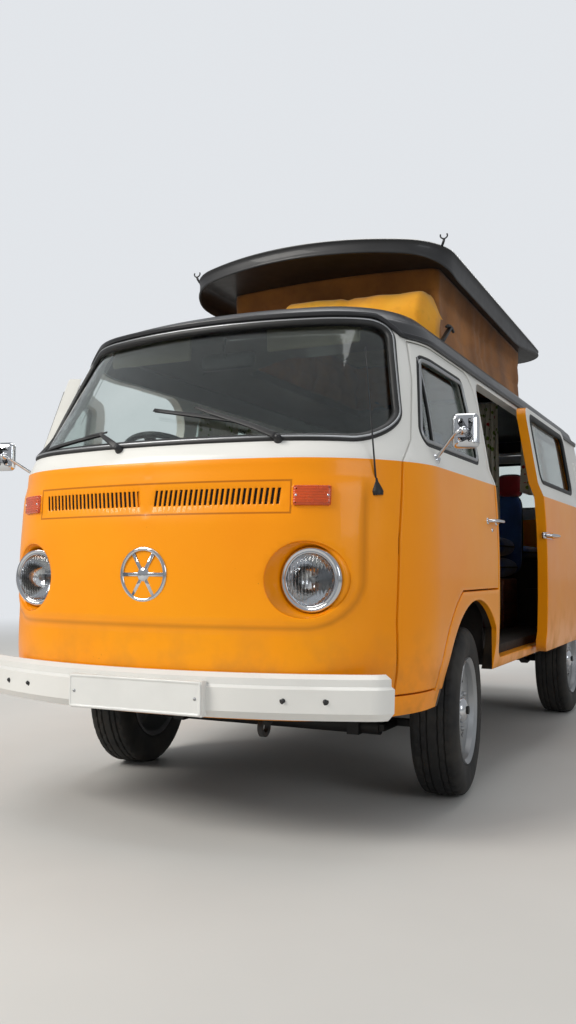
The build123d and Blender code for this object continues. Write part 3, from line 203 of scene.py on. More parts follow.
class Shader:
    """A node material that is built up call by call."""

    def __init__(self, name, roughness=0.5, metallic=0.0, coat=0.0, coat_roughness=0.05, sheen=0.0, specular=0.5):
        self.material = bpy.data.materials.new(name)
        self.material.use_nodes = True
        self.tree = self.material.node_tree
        self.principled = self.tree.nodes["Principled BSDF"]
        for socket, value in (
            ("Roughness", roughness),
            ("Metallic", metallic),
            ("Coat Weight", coat),
            ("Coat Roughness", coat_roughness),
            ("Sheen Weight", sheen),
            ("Specular IOR Level", specular),
        ):
            self.principled.inputs[socket].default_value = value
        self.coordinates = self.node("ShaderNodeTexCoord").outputs["Object"]
        self.height = None

    def node(self, kind, **settings):
        made = self.tree.nodes.new(kind)
        for key, value in settings.items():
            setattr(made, key, value)
        return made

    def link(self, source, target):
        self.tree.links.new(source, target)

    def math(self, operation, first, second=None, third=None):
        made = self.node("ShaderNodeMath", operation=operation)
        for socket, value in zip(made.inputs, (first, second, third)):
            if value is None:
                continue
            if isinstance(value, (int, float)):
                socket.default_value = value
            else:
                self.link(value, socket)
        return made.outputs[0]

    def times(self, first, second):
        return self.math("MULTIPLY", first, second)

    def plus(self, first, second):
        return self.math("ADD", first, second)

    def over(self, first, second):
        """1 where the first is greater than the second, else 0."""
        return self.math("GREATER_THAN", first, second)

    def under(self, first, second):
        """1 where the first is less than the second, else 0."""
        return self.math("LESS_THAN", first, second)

    def most(self, first, second):
        return self.math("MAXIMUM", first, second)

    def length(self, first, second):
        """Length of the vector with these two parts."""
        return self.math("SQRT", self.plus(self.times(first, first), self.times(second, second)))

    def axis(self, name):
        """One coordinate in metres: X, Y or Z."""
        return self.node_from("ShaderNodeSeparateXYZ", self.coordinates).outputs[name]

    def node_from(self, kind, source, **settings):
        made = self.node(kind, **settings)
        self.link(source, made.inputs[0])
        return made

    def stretched(self, scale):
        mapping = self.node_from("ShaderNodeMapping", self.coordinates)
        mapping.inputs["Scale"].default_value = scale
        return mapping.outputs[0]

    def noise(self, scale, detail, stretch=None, distortion=0.0):
        made = self.node("ShaderNodeTexNoise")
        made.inputs["Scale"].default_value = scale
        made.inputs["Detail"].default_value = detail
        made.inputs["Distortion"].default_value = distortion
        self.link(self.stretched(stretch) if stretch else self.coordinates, made.inputs["Vector"])
        return made.outputs["Fac"]

    def wave(self, scale, direction):
        made = self.node("ShaderNodeTexWave", bands_direction=direction)
        made.inputs["Scale"].default_value = scale
        self.link(self.coordinates, made.inputs["Vector"])
        return made.outputs["Fac"]

    def voronoi(self, scale):
        made = self.node("ShaderNodeTexVoronoi")
        made.inputs["Scale"].default_value = scale
        self.link(self.coordinates, made.inputs["Vector"])
        return made.outputs["Distance"]

    def ramp(self, value, low, high):
        """0 below low, 1 above high, straight between."""
        made = self.node("ShaderNodeMapRange", clamp=True)
        self.link(value, made.inputs[0])
        made.inputs[1].default_value, made.inputs[2].default_value = low, high
        return made.outputs[0]

    def mix(self, factor, first, second):
        made = self.node("ShaderNodeMix", data_type="RGBA")
        for socket, value in ((made.inputs[0], factor), (made.inputs[6], first), (made.inputs[7], second)):
            if isinstance(value, (tuple, float, int)):
                socket.default_value = value
            else:
                self.link(value, socket)
        return made.outputs[2]

    def base(self, value):
        if isinstance(value, tuple):
            self.principled.inputs["Base Color"].default_value = value
        else:
            self.link(value, self.principled.inputs["Base Color"])

    def roughness(self, value, low, high):
        """Roughness from low to high as a pattern's value goes from 0 to 1."""
        made = self.node("ShaderNodeMapRange")
        self.link(value, made.inputs[0])
        made.inputs[3].default_value, made.inputs[4].default_value = low, high
        self.link(made.outputs[0], self.principled.inputs["Roughness"])

    def bump(self, value, distance, strength=1.0):
        """Relief from a pattern, distance in metres; calls add up."""
        made = self.node("ShaderNodeBump")
        made.inputs["Strength"].default_value = strength
        made.inputs["Distance"].default_value = distance
        self.link(value, made.inputs["Height"])
        if self.height:
            self.link(self.height, made.inputs["Normal"])
        self.height = made.outputs[0]
        self.link(self.height, self.principled.inputs["Normal"])


def dimmed(colour, share):
    """A colour with a share of its light."""
    return tuple(c * share for c in colour[:3]) + (1,)


def plain(name, colour, roughness, metallic=0.0, *, vary, grain, relief=0.0002, **more):
    """A material of one colour with soft variation, uneven gloss and a fine grain."""
    shader = Shader(name, roughness, metallic, **more)
    spots = shader.noise(grain / 8, 4)
    shader.base(shader.mix(shader.ramp(spots, 0.3, 0.7), dimmed(colour, 1 - 2 * vary), colour))
    shader.roughness(shader.noise(grain / 3, 3), max(0.02, roughness - 0.08), min(1, roughness + 0.1))
    if relief:
        shader.bump(shader.noise(grain, 2), relief)
    return shader


def body_paint(name, roof=False, nose=False, inner=False, arches=False):
    """Orange below the belt line and white above it, coated, with faded patches and road dust low down."""
    shader = Shader(name, 0.42, coat=0.16, coat_roughness=0.06, specular=0.22)
    height = shader.axis("Z")
    fade = shader.ramp(shader.noise(1.7, 5), 0.35, 0.75)
    orange = shader.mix(fade, ORANGE, srgb(255, 163, 10))
    white = shader.mix(fade, WHITE, srgb(222, 221, 214))
    above = shader.over(height, EVERYWHERE if inner else BELT_Z * MM)
    paint = shader.mix(above, orange, white)
    if arches:
        # inside the wheel arches the side is painted near-black, but for its outer lip
        aside = shader.math("ABSOLUTE", shader.plus(shader.axis("X"), MIDDLE_X * MM))
        deep = shader.under(aside, ARCH_HALF)
        for axle, reach in ARCH_DARK_REACH:
            along = shader.plus(shader.axis("Y"), (FRONT_FACE_Y - axle) * MM)
            up = shader.plus(height, -AXLE_Z * MM)
            far = shader.length(along, up)
            paint = shader.mix(shader.times(deep, shader.under(far, reach)), paint, srgb(30, 26, 23))
    if roof:
        paint = shader.mix(shader.over(height, ROOF_DARK_Z), paint, shader.mix(fade, ROOF_DARK, srgb(66, 66, 68)))
    if nose:
        aside = shader.math("ABSOLUTE", shader.plus(shader.axis("X"), MIDDLE_X * MM))
        field = shader.times(shader.under(aside, NOSE_DARK_HALF), shader.over(height, NOSE_DARK_Z))
        dark = shader.most(field, shader.over(height, NOSE_DARK_SIDE_Z))
        paint = shader.mix(dark, paint, ROOF_DARK)
        # painted shade: a darker line in the creases round the slot panel and along the plateau's edge
        over_x = shader.plus(aside, -BAND_HALF * MM)
        over_z = shader.plus(
            shader.math("ABSOLUTE", shader.plus(height, -(BAND_LOW + BAND_HIGH) / 2 * MM)),
            -(BAND_HIGH - BAND_LOW) / 2 * MM
        )
        panel = shader.math("ABSOLUTE", shader.most(over_x, over_z))
        corner_x = shader.most(shader.plus(aside, -(PLATEAU_HALF - PLATEAU_CORNER) * MM), 0.0)
        corner_z = shader.most(shader.math("MULTIPLY_ADD", height, -1.0, (PLATEAU_LOW + PLATEAU_CORNER) * MM), 0.0)
        corner = shader.length(corner_x, corner_z)
        edge = shader.math("ABSOLUTE", shader.plus(corner, -(PLATEAU_CORNER + 5) * MM))
        below = shader.ramp(height, 1.17, 1.1)
        soft_crease_shade = shader.times(shader.times(shader.ramp(edge, 0.012, 0.001), below), 0.5)
        crease = shader.most(shader.ramp(panel, 0.0045, 0.0015), soft_crease_shade)
        paint = shader.mix(shader.times(crease, 0.62), paint, srgb(128, 62, 8))
    dust = shader.times(shader.ramp(height, 0.72, 0.42), shader.ramp(shader.noise(9, 6), 0.45, 0.8))
    paint = shader.mix(shader.times(dust, 0.55), paint, srgb(120, 96, 66))
    specks = shader.under(shader.voronoi(34), 0.035)
    chipped = shader.times(specks, shader.ramp(shader.noise(3.1, 2), 0.6, 0.66))
    shader.base(shader.mix(chipped, paint, srgb(92, 50, 22)))
    shader.roughness(shader.plus(dust, shader.times(shader.noise(6, 4), 0.3)), 0.24, 0.7)
    shader.bump(shader.noise(240, 1), 0.00002)
    return shader


def woven(name, colour, darker, threads=900, sheen=0.25):
    """Cloth with a weave, faded and stained in soft patches."""
    shader = Shader(name, 0.85, sheen=sheen)
    patches = shader.ramp(shader.noise(5, 5), 0.3, 0.72)
    base = shader.mix(patches, darker, colour)
    streaks = shader.ramp(shader.noise(22, 3), 0.55, 0.8)
    base = shader.mix(shader.times(streaks, 0.35), base, dimmed(darker, 0.6))
    shader.base(base)
    shader.roughness(shader.noise(60, 2), 0.75, 0.95)
    shader.bump(shader.noise(threads, 1), 0.0004, 0.5)
    shader.bump(shader.noise(26, 4), 0.0025, 0.5)
    return shader


def wood(name, colour, darker):
    """Veneer with long grain and a worn varnish."""
    shader = Shader(name, 0.42, coat=0.35, coat_roughness=0.12)
    grain = shader.noise(5, 6, stretch=(14, 1.2, 14), distortion=0.6)
    rings = shader.noise(2.2, 3, stretch=(22, 1, 22), distortion=1.4)
    base = shader.mix(shader.ramp(grain, 0.35, 0.7), darker, colour)
    base = shader.mix(shader.times(shader.ramp(rings, 0.5, 0.75), 0.5), base, dimmed(darker, 0.55))
    shader.base(base)
    shader.roughness(shader.noise(18, 3), 0.3, 0.6)
    shader.bump(grain, 0.0003)
    return shader


def curtain_print(name):
    """Light cotton printed with green and red sprigs."""
    shader = woven(name, srgb(226, 222, 206), srgb(206, 200, 182), threads=1500, sheen=0.1)
    cells = shader.voronoi(26)
    green = shader.times(shader.under(cells, 0.3), shader.over(shader.noise(11, 2), 0.5))
    red = shader.times(shader.under(shader.voronoi(17), 0.22), shader.under(shader.noise(7, 2), 0.47))
    ground = shader.principled.inputs["Base Color"].links[0].from_socket
    shader.base(shader.mix(red, shader.mix(green, ground, srgb(112, 138, 40)), srgb(176, 46, 40)))
    return shader


def window_glass(name):
    """Clear glass, a little uneven."""
    shader = Shader(name, 0.03, specular=0.5)
    shader.base(shader.mix(shader.ramp(shader.noise(2, 3), 0.4, 0.7), srgb(212, 222, 218), srgb(224, 232, 228)))
    shader.principled.inputs["Transmission Weight"].default_value = 1.0
    shader.principled.inputs["IOR"].default_value = GLASS_IOR
    shader.bump(shader.noise(1.3, 2), 0.0002)
    return shader


SHADERS = {
    "paint": body_paint("body_paint"),
    "roof": body_paint("roof_paint", roof=True),
    "nose": body_paint("nose_paint", nose=True),
    "lid": plain("lid_paint", srgb(204, 203, 197), 0.5, vary=0.05, grain=30, relief=0.00003, coat=0.2),
    "white": plain("white_paint", WHITE, 0.34, vary=0.04, grain=30, relief=0.00002, coat=0.7),
    "lining": plain("inner_lining", srgb(150, 141, 122), 0.7, vary=0.1, grain=80),
    "chassis": plain("chassis_steel", srgb(38, 37, 36), 0.6, vary=0.3, grain=40, relief=0.0004),
    "engine": plain("engine_iron", srgb(74, 72, 70), 0.55, 0.6, vary=0.3, grain=50, relief=0.0005),
    "rubber": plain("black_rubber", srgb(24, 24, 25), 0.5, vary=0.2, grain=120, relief=0.0001),
    "plastic": plain("black_plastic", srgb(30, 30, 32), 0.45, vary=0.15, grain=300, relief=0.0001),
    "chrome": plain("chrome", srgb(214, 216, 220), 0.09, 1.0, vary=0.05, grain=20, relief=0.0),
    "mirror": plain("mirror_glass", srgb(228, 232, 236), 0.03, 1.0, vary=0.02, grain=8, relief=0.0),
    "silver": plain("wheel_silver", srgb(176, 178, 180), 0.36, 0.75, vary=0.12, grain=40, relief=0.0001),
    "dark_rim": plain("rim_paint", srgb(34, 34, 36), 0.5, vary=0.2, grain=50, relief=0.00015, coat=0.12),
    # the canvas wall and its loose fold are one cloth in two copies: the wall in its colour in shade (painted shade),
    # the fold in its colour in sunlight (painted light)
    "canvas": woven("canvas_shaded_copy", srgb(176, 112, 42), srgb(128, 78, 28)),
    "canvas_sunlit_copy": woven("canvas_sunlit_copy", srgb(255, 190, 42), srgb(246, 164, 26)),
    "seat": woven("seat_cloth", srgb(44, 88, 160), srgb(28, 60, 118), threads=1400),
    "piping": plain("piping", srgb(20, 28, 48), 0.6, vary=0.1, grain=80),
    "red_cloth": woven("red_cloth", srgb(176, 26, 34), srgb(130, 16, 24), threads=1200),
    "wood": wood("cabinet_wood", srgb(122, 62, 36), srgb(80, 38, 22)),
    "worktop": wood("worktop_laminate", srgb(182, 150, 108), srgb(160, 126, 86)),
    "print": curtain_print("curtain_print"),
    "floor_mat": plain("floor_mat", srgb(46, 40, 36), 0.8, vary=0.25, grain=120, relief=0.0006),
    "door_paint": body_paint("door_paint", inner=True),
    "side_paint": body_paint("side_paint", arches=True),
    "plate": plain("plate_white", srgb(232, 232, 228), 0.35, vary=0.04, grain=60, relief=0.00003, coat=0.3),
    # painted shade: near-black for the insides of slots and holes
    "dark": plain("shade_black_hollow", srgb(8, 8, 8), 0.9, vary=0.1, grain=60),
    "glass": window_glass("window_glass"),
}
materials = {key: shader.material for key, shader in SHADERS.items()}

# ---------------------------------------------------------------- body surface

# Bounds of the outline's five stretches in the unrolled panel plane: front arc, corner, side, corner, rear arc
STRETCHES = np.cumsum([0, 452, 693, 3540, 332, 657])
# Where the side begins and ends, and the rear's mid-plane
S_SIDE, S_REAR, S_END = STRETCHES[2], STRETCHES[3], STRETCHES[-1]


def section_at(z):
    """Body section at heights z: foremost y, arc, corner, half width and rearmost y."""
    rows = np.array(LOWER_SECTIONS + UPPER_SECTIONS[1:] + ROOF_SECTIONS[1:], float)
    heights = rows[:, 0]
    values = [np.interp(z, heights, rows[:, i]) for i in range(1, 6)]
    # The lower body is convex between its sections, so each column follows a smooth curve there
    lower = len(LOWER_SECTIONS)
    for i in range(1, 6):
        h, v = heights[:lower], rows[:lower, i]
        step = np.diff(v) / np.diff(h)
        product = step[1:] * step[:-1]
        inner = np.where(product > 0, 2 * product / (step[1:] + step[:-1] + 1e-12), 0)
        slope = np.concatenate(([step[0]], inner, [step[-1]]))
        k = np.clip(np.searchsorted(h, z, "right") - 1, 0, lower - 2)
        t = np.clip((z - h[k]) / (h[k + 1] - h[k]), 0, 1)
        width = h[k + 1] - h[k]
        smooth = (
            (2 * t**3 - 3 * t**2 + 1) * v[k]
            + (t**3 - 2 * t**2 + t) * width * slope[k]
            + (3 * t**2 - 2 * t**3) * v[k + 1]
            + (t**3 - t**2) * width * slope[k + 1]
        )
        values[i - 1] = np.where(z <= h[-1], smooth, values[i - 1])
    return values


def arcs(front, arc, corner, half, rear, far, near):
    """Middles of a plan outline's front arc and corner with the angle where they meet, and the same for the rear."""
    centre, centre_r = front + arc, rear - far
    k = centre - np.sqrt((arc - corner) ** 2 - (half - corner) ** 2)
    k_r = centre_r + np.sqrt((far - near) ** 2 - (half - near) ** 2)
    return centre, k, np.arctan2(half - corner, centre - k), centre_r, k_r, np.arctan2(half - near, k_r - centre_r)


def body_point(s, z):
    """Points of the body's left skin, for places s along the unrolled outline and heights z."""
    s, z = np.broadcast_arrays(np.asarray(s, float), np.asarray(z, float))
    front, arc, corner, half, rear = section_at(z)
    far, near = REAR_ARC, np.minimum(REAR_CORNER, half - 20)
    centre, k, t, centre_r, k_r, t_r = arcs(front, arc, corner, half, rear, far, near)
    share = [np.clip((s - low) / (high - low), 0, 1) for low, high in zip(STRETCHES, STRETCHES[1:])]
    within = [s <= edge for edge in STRETCHES[1:5]]
    a = share[0] * t
    b = t + share[1] * (np.pi / 2 - t)
    c = share[3] * (np.pi / 2 - t_r)
    d = t_r * (1 - share[4])
    x = np.select(
        within,
        [arc * np.sin(a), half - corner + corner * np.sin(b), half, half - near + near * np.cos(c)],
        far * np.sin(d),
    )
    y = np.select(
        within,
        [centre - arc * np.cos(a), k - corner * np.cos(b), k + share[2] * (k_r - k), k_r + near * np.sin(c)],
        centre_r + far * np.cos(d),
    )
    return np.stack([x, y, z], -1)


def body_frame(s, z):
    """Points of the left skin with their outward normals."""
    p = body_point(s, z)
    ds = body_point(np.asarray(s) + 2.0, z) - body_point(np.asarray(s) - 2.0, z)
    # at the very middle the outline is even, so a place before it mirrors
    before = np.asarray(s) < 2.0
    ds[before] = body_point(np.asarray(s) + 2.0, z)[before] - p[before]
    dz = body_point(s, np.asarray(z) + 3.0) - body_point(s, np.asarray(z) - 3.0)
    normal = np.cross(ds, dz)
    return p, normal / np.linalg.norm(normal, axis=-1, keepdims=True)


def solve(z, target, column, low, high):
    """Places s between low and high where the outline's x or y is the target."""
    z, target = np.broadcast_arrays(np.asarray(z, float), np.asarray(target, float))
    a, b = np.full(z.shape, float(low)), np.full(z.shape, float(high))
    rising = body_point(b, z)[..., column] > body_point(a, z)[..., column]
    for _ in range(40):
        m = (a + b) / 2
        above = body_point(m, z)[..., column] > target
        go_low = above == rising
        b = np.where(go_low, m, b)
        a = np.where(go_low, a, m)
    return (a + b) / 2


def from_side(points):
    """Side-view points (y, z) in the unrolled plane."""
    y, z = np.asarray(points, float).T
    return np.stack([solve(z, y, 1, 0, S_END), z], -1)


def from_front(points):
    """Front-view points (x, z) in the unrolled plane."""
    x, z = np.asarray(points, float).T
    return np.stack([solve(z, x, 0, 0, S_SIDE), z], -1)


def from_rear(points):
    """Rear-view points (x, z) in the unrolled plane."""
    x, z = np.asarray(points, float).T
    return np.stack([solve(z, x, 0, S_REAR, S_END), z], -1)


def skin_spot(convert, first, second, height):
    """One place of a view on the skin, raised by a height, with its normal."""
    point, normal = body_frame(*convert([(first, second)])[0].reshape(2, 1))
    return point[0] + normal[0] * height, normal[0]


def dense(points, spacing, closed=True):
    """A polyline with points no further apart than the spacing."""
    points = [np.asarray(p, float) for p in points]
    ends = points[1:] + points[:1] if closed else points[1:]
    made = []
    for a, b in zip(points, ends):
        steps = max(1, int(np.ceil(np.linalg.norm(b - a) / spacing)))
        made += [a + (b - a) * i / steps for i in range(steps)]
    if not closed:
        made.append(points[-1])
    return np.array(made)


def rounded(points, radius, steps):
    """A polygon with its corners rounded; radius is one number or one for each corner."""
    points = [np.asarray(p, float) for p in points]
    radii = [radius] * len(points) if isinstance(radius, (int, float)) else radius
    made = []
    for i, (p, r) in enumerate(zip(points, radii)):
        if not r:
            made.append(p)
            continue
        before, after = points[i - 1] - p, points[(i + 1) % len(points)] - p
        u, v = before / np.linalg.norm(before), after / np.linalg.norm(after)
        half = math.acos(np.clip(u @ v, -1, 1)) / 2
        cut = min(r / math.tan(half), 0.48 * np.linalg.norm(before), 0.48 * np.linalg.norm(after))
        r = cut * math.tan(half)
        middle = p + (u + v) / np.linalg.norm(u + v) * r / math.sin(half)
        start, end = p + u * cut - middle, p + v * cut - middle
        turn = math.atan2(start[0] * end[1] - start[1] * end[0], start @ end)
        for k in range(steps + 1):
            a = turn * k / steps
            c, s = math.cos(a), math.sin(a)
            made.append(middle + (start[0] * c - start[1] * s, start[0] * s + start[1] * c))
    return made


def circle(x, y, radius, steps):
    turns = [2 * math.pi * i / steps for i in range(steps)]
    return [(x + radius * math.cos(a), y + radius * math.sin(a)) for a in turns]


def rectangle(front, rear, bottom, top, grow=0):
    """Corners of an upright or level rectangle, larger by grow all round."""
    front, rear, bottom, top = front - grow, rear + grow, bottom - grow, top + grow
    return [(front, bottom), (rear, bottom), (rear, top), (front, top)]


def inside(points, polygon):
    """Which points lie inside a polygon."""
    x, y = points[:, 0], points[:, 1]
    px, py = polygon[:, 0], polygon[:, 1]
    qx, qy = np.roll(px, -1), np.roll(py, -1)
    found = np.zeros(len(points), bool)
    for i in range(len(polygon)):
        if py[i] == qy[i]:
            continue
        crosses = (py[i] > y) != (qy[i] > y)
        found ^= crosses & (x < (qx[i] - px[i]) * (y - py[i]) / (qy[i] - py[i]) + px[i])
    return found


def distance_to(points, loops, skip_middle=False):
    """Each point's distance to the nearest of some closed loops, without the runs along the mid-plane if asked."""
    best = np.full(len(points), 1e9)
    for loop in loops:
        for start, end in zip(loop, np.roll(loop, -1, axis=0)):
            run = end - start
            if skip_middle and (max(start[0], end[0]) < 1e-3 or min(start[0], end[0]) > S_END - 1e-3):
                continue
            t = np.clip(((points - start) @ run) / (run @ run + 1e-12), 0, 1)
            best = np.minimum(best, np.linalg.norm(points - start - t[:, None] * run, axis=1))
    return best


def anticlockwise(loop):
    return (loop[:, 0] * np.roll(loop[:, 1], -1) - loop[:, 1] * np.roll(loop[:, 0], -1)).sum() > 0


def shrunk(loop, amount):
    """A dense loop moved in by an amount, towards its inside."""
    before, after = np.roll(loop, 1, axis=0), np.roll(loop, -1, axis=0)
    along = after - before
    normal = np.stack([-along[:, 1], along[:, 0]], -1) / (np.linalg.norm(along, axis=1)[:, None] + 1e-9)
    return loop + normal * amount * (1 if anticlockwise(loop) else -1)


def mesh_piece(name, verts, faces, material, body):
    """A smooth mesh of one material, carried by a body if one is given."""
    mesh = bpy.data.meshes.new(name)
    mesh.from_pydata([tuple(v) for v in verts], [], [tuple(int(i) for i in f) for f in faces])
    mesh.validate()
    mesh.polygons.foreach_set("use_smooth", [True] * len(mesh.polygons))
    mesh.materials.append(materials[material])
    made = bpy.data.objects.new(name, mesh)
    bpy.context.scene.collection.objects.link(made)
    if body:
        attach(made, body)
    return made


@contextmanager
def editing(piece):
    """A piece's mesh opened for bmesh and written back at the end."""
    bm = bmesh.new()
    bm.from_mesh(piece.data)
    yield bm
    bm.to_mesh(piece.data)
    bm.free()


def triangulated(loop, holes, spacing, edge):
    """Vertices and triangles that fill a loop in the plane, with a row of points just inside each edge."""
    loops = [loop, *holes]
    rings = [shrunk(loop, edge)] + [shrunk(h, -edge) for h in holes]
    low, high = loop.min(0), loop.max(0)
    # Rows of the grid lie on the belt line, where the body has a crease
    rows = BELT_Z + spacing * np.arange(
        math.floor((low[1] - BELT_Z) / spacing), math.ceil((high[1] - BELT_Z) / spacing) + 1
    )
    columns = np.arange(math.floor(low[0] / spacing), math.ceil(high[0] / spacing) + 1) * spacing
    grid = np.stack(np.meshgrid(columns, rows), -1).reshape(-1, 2)
    keep = inside(grid, loop)
    for hole in holes:
        keep &= ~inside(grid, hole)
    grid = grid[keep]
    grid = grid[distance_to(grid, loops) > edge + 0.35 * spacing]
    edges, points = [], []
    for ring in loops + rings:
        first = len(points)
        points += list(ring)
        edges += [(first + i, first + (i + 1) % len(ring)) for i in range(len(ring))]
    points = np.array(points + list(grid))
    verts, _, faces, *_ = delaunay_2d_cdt([Vector(p) for p in points], edges, [], 0, 1e-4)
    verts = np.array([tuple(v) for v in verts])
    faces = np.array([f for f in faces if len(f) == 3])
    middle = verts[faces].mean(1)
    keep = inside(middle, loop)
    for hole in holes:
        keep &= ~inside(middle, hole)
    return verts, faces[keep], loops


class Carrier:
    """What a piece on the body's left skin is carried by: its side, the door's swing or the sliding door's move."""

    def __init__(self, body, side=1, swing=0, shift=(0, 0)):
        self.body, self.side, self.swing, self.shift = body, side, math.radians(swing), shift

    def points(self, points):
        moved = np.asarray(points, float) * (self.side, 1, 1) + (self.shift[0], self.shift[1], 0)
        about = np.array([self.side * DOOR_HINGE[0], DOOR_HINGE[1], 0])
        return (moved - about) @ self.spin().T + about

    def directions(self, directions):
        return (np.asarray(directions, float) * (self.side, 1, 1)) @ self.spin().T

    def spot(self, point):
        return self.points(np.asarray(point)[None])[0]

    def heading(self, direction):
        return self.directions(np.asarray(direction)[None])[0]

    def spin(self):
        c, s = math.cos(self.swing), math.sin(self.swing)
        return np.array([[c, -s, 0], [s, c, 0], [0, 0, 1]])


LEFT = Carrier("body")
RIGHT = Carrier("body", -1)
DOOR_LEFT = Carrier("cab_door_left")
DOOR_RIGHT = Carrier("cab_door_right", -1, RIGHT_DOOR_AJAR)
SLIDING = Carrier("body", shift=SLIDE_MOVE)
GATE = Carrier("tailgate")
LID = Carrier("engine_lid")


# A panel's grid, the breadth of its rolled edge and how far that edge turns in
SKIN_GRID, SKIN_EDGE, SKIN_ROLL = 22.0, 3.5, 1.6


def skin(name, outline, holes, material, carrier, lift=2.0, thick=3.0, relief=None, both=False):
    """A body panel on the smooth outer surface: an outline with holes in the unrolled plane, rolled in at its edges.

    With both, the panel is joined to its own mirror image.
    """
    plane, faces, loops = triangulated(
        np.asarray(outline, float), [np.asarray(h, float) for h in holes], SKIN_GRID, SKIN_EDGE
    )
    points, normals = body_frame(plane[:, 0], plane[:, 1])
    near = distance_to(plane, loops, skip_middle=both)
    rise = lift - SKIN_ROLL * np.clip(1 - near / SKIN_EDGE, 0, 1) ** 2
    if relief is not None:
        rise = rise + relief(points)
    points = points + normals * rise[:, None]
    if both:
        middle = (plane[:, 0] < 1e-3) | (plane[:, 0] > S_END - 1e-3)
        points[middle, 0] = 0
        count = len(points)
        points = np.concatenate([points, points * (-1, 1, 1)])
        faces = np.concatenate([faces, faces[:, ::-1] + count])
    elif carrier.side < 0:
        faces = faces[:, ::-1]
    made = mesh_piece(name, placed(carrier.points(points)), faces, material, None)
    if both:
        with editing(made) as bm:
            bmesh.ops.remove_doubles(bm, verts=bm.verts, dist=1e-6)
    solid = made.modifiers.new("thickness", "SOLIDIFY")
    solid.thickness = thick * MM
    solid.offset = -1
    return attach(made, carrier.body)


def sweep(name, centres, normals, profile, material, body):
    """A strip round a closed line on a surface. Profile rows: across the line to its right, and above the surface."""
    centres, normals = np.asarray(centres, float), np.asarray(normals, float)
    along = np.roll(centres, -1, 0) - np.roll(centres, 1, 0)
    across = np.cross(along, normals)
    across /= np.linalg.norm(across, axis=1, keepdims=True)
    profile = np.asarray(profile, float)
    rows = centres[:, None] + across[:, None] * profile[None, :, :1] + normals[:, None] * profile[None, :, 1:]
    return lattice(name, rows, material, body, True, True)


def lattice(name, rows, material, body, closed_rows=False, closed_columns=False, caps=False):
    """A surface through rows of drawing places."""
    rows = np.asarray(rows, float)
    n, m = rows.shape[:2]
    faces = []
    for i in range(n if closed_rows else n - 1):
        for j in range(m if closed_columns else m - 1):
            k, l = (i + 1) % n, (j + 1) % m
            faces.append((i * m + j, k * m + j, k * m + l, i * m + l))
    if caps:
        faces += [tuple(range(m)), tuple((n - 1) * m + j for j in reversed(range(m)))]
    made = mesh_piece(name, placed(rows.reshape(-1, 3)), faces, material, body)
    with editing(made) as bm:
        bmesh.ops.recalc_face_normals(bm, faces=bm.faces)
    return made


def joined(name, pieces):
    """Several meshes as one piece; the first one's body and materials are kept."""
    bpy.ops.object.select_all(action="DESELECT")
    for piece in pieces:
        piece.select_set(True)
    bpy.context.view_layer.objects.active = pieces[0]
    bpy.ops.object.join()
    pieces[0].name = name
    return pieces[0]


# ---------------------------------------------------------------- outlines of the panels


SKIN_FOOT_Z = 406
NOSE_TOP_Z = 1777
PILLAR_Y = 648
SCREEN_SPLIT_Z = 1500


def door_lip(radius, high, low, count):
    """The arc over the front wheel that the door's lower rear edge follows, from one height down to another."""
    start, end = (math.acos((z - AXLE_Z) / radius) for z in (high, low))
    turns = np.linspace(start, end, count)
    return [(FRONT_AXLE_Y - radius * math.sin(a), AXLE_Z + radius * math.cos(a)) for a in turns]


def door_outline(grow=0):
    front = [(y - grow, z) for y, z in DOOR_FRONT[1:-1]]
    foot = (DOOR_FRONT[0][0] - grow, DOOR_SILL_Z - grow)
    head = (DOOR_FRONT[-1][0] - grow, DOOR_TOP_Z + grow)
    rear, step = DOOR_REAR_Y + grow, DOOR_STEP_Z - grow
    arch = door_lip(DOOR_ARCH_R - grow, step, foot[1], 17)
    points = [foot, *front, head, (rear, DOOR_TOP_Z + grow), (rear, step), *arch]
    radii = [0] * (len(front) + 2) + [DOOR_CORNER + grow, 0] + [0] * len(arch)
    radii[1 + len(front)] = 20
    return rounded(points, radii, 10)


def nose_outline():
    """Left half of the nose in the unrolled plane: the panel below the windscreen and the pillar beside it."""
    rear = [(y - PANEL_GAP, z) for y, z in DOOR_FRONT]
    pillar = [(rear[0][0], SKIN_FOOT_Z), *rear, (PILLAR_Y, GUTTER_Z), (PILLAR_Y + 6, NOSE_TOP_Z)]
    pillar = from_side(dense(pillar, 15, closed=False))
    bottom, top, half_bottom, half_top = SCREEN
    corners = rounded(
        [(half_bottom, bottom), (half_top, top), (-half_top, top), (-half_bottom, bottom)], SCREEN_CORNER, 10
    )
    left = [p for p in corners if p[0] > 0]
    edge = sorted([p for p in left if p[1] > SCREEN_SPLIT_Z], key=lambda p: p[0] * 0.5 - p[1])
    lower = sorted([p for p in left if p[1] <= SCREEN_SPLIT_Z], key=lambda p: -p[1])
    screen = from_front(dense([(0.0, top), *edge, *lower, (0.0, bottom)], 15, closed=False))
    base = [(s, SKIN_FOOT_Z) for s in np.linspace(0, pillar[0][0], 60)[:-1]]
    head = [(s, NOSE_TOP_Z) for s in np.linspace(pillar[-1][0], 0, 50)[1:]]
    middle = [(0.0, z) for z in np.linspace(bottom, SKIN_FOOT_Z, 60)[1:-1]]
    return np.array(base + [tuple(p) for p in pillar] + head + [tuple(p) for p in screen] + middle)


# ---------------------------------------------------------------- looks of the CAD nodes

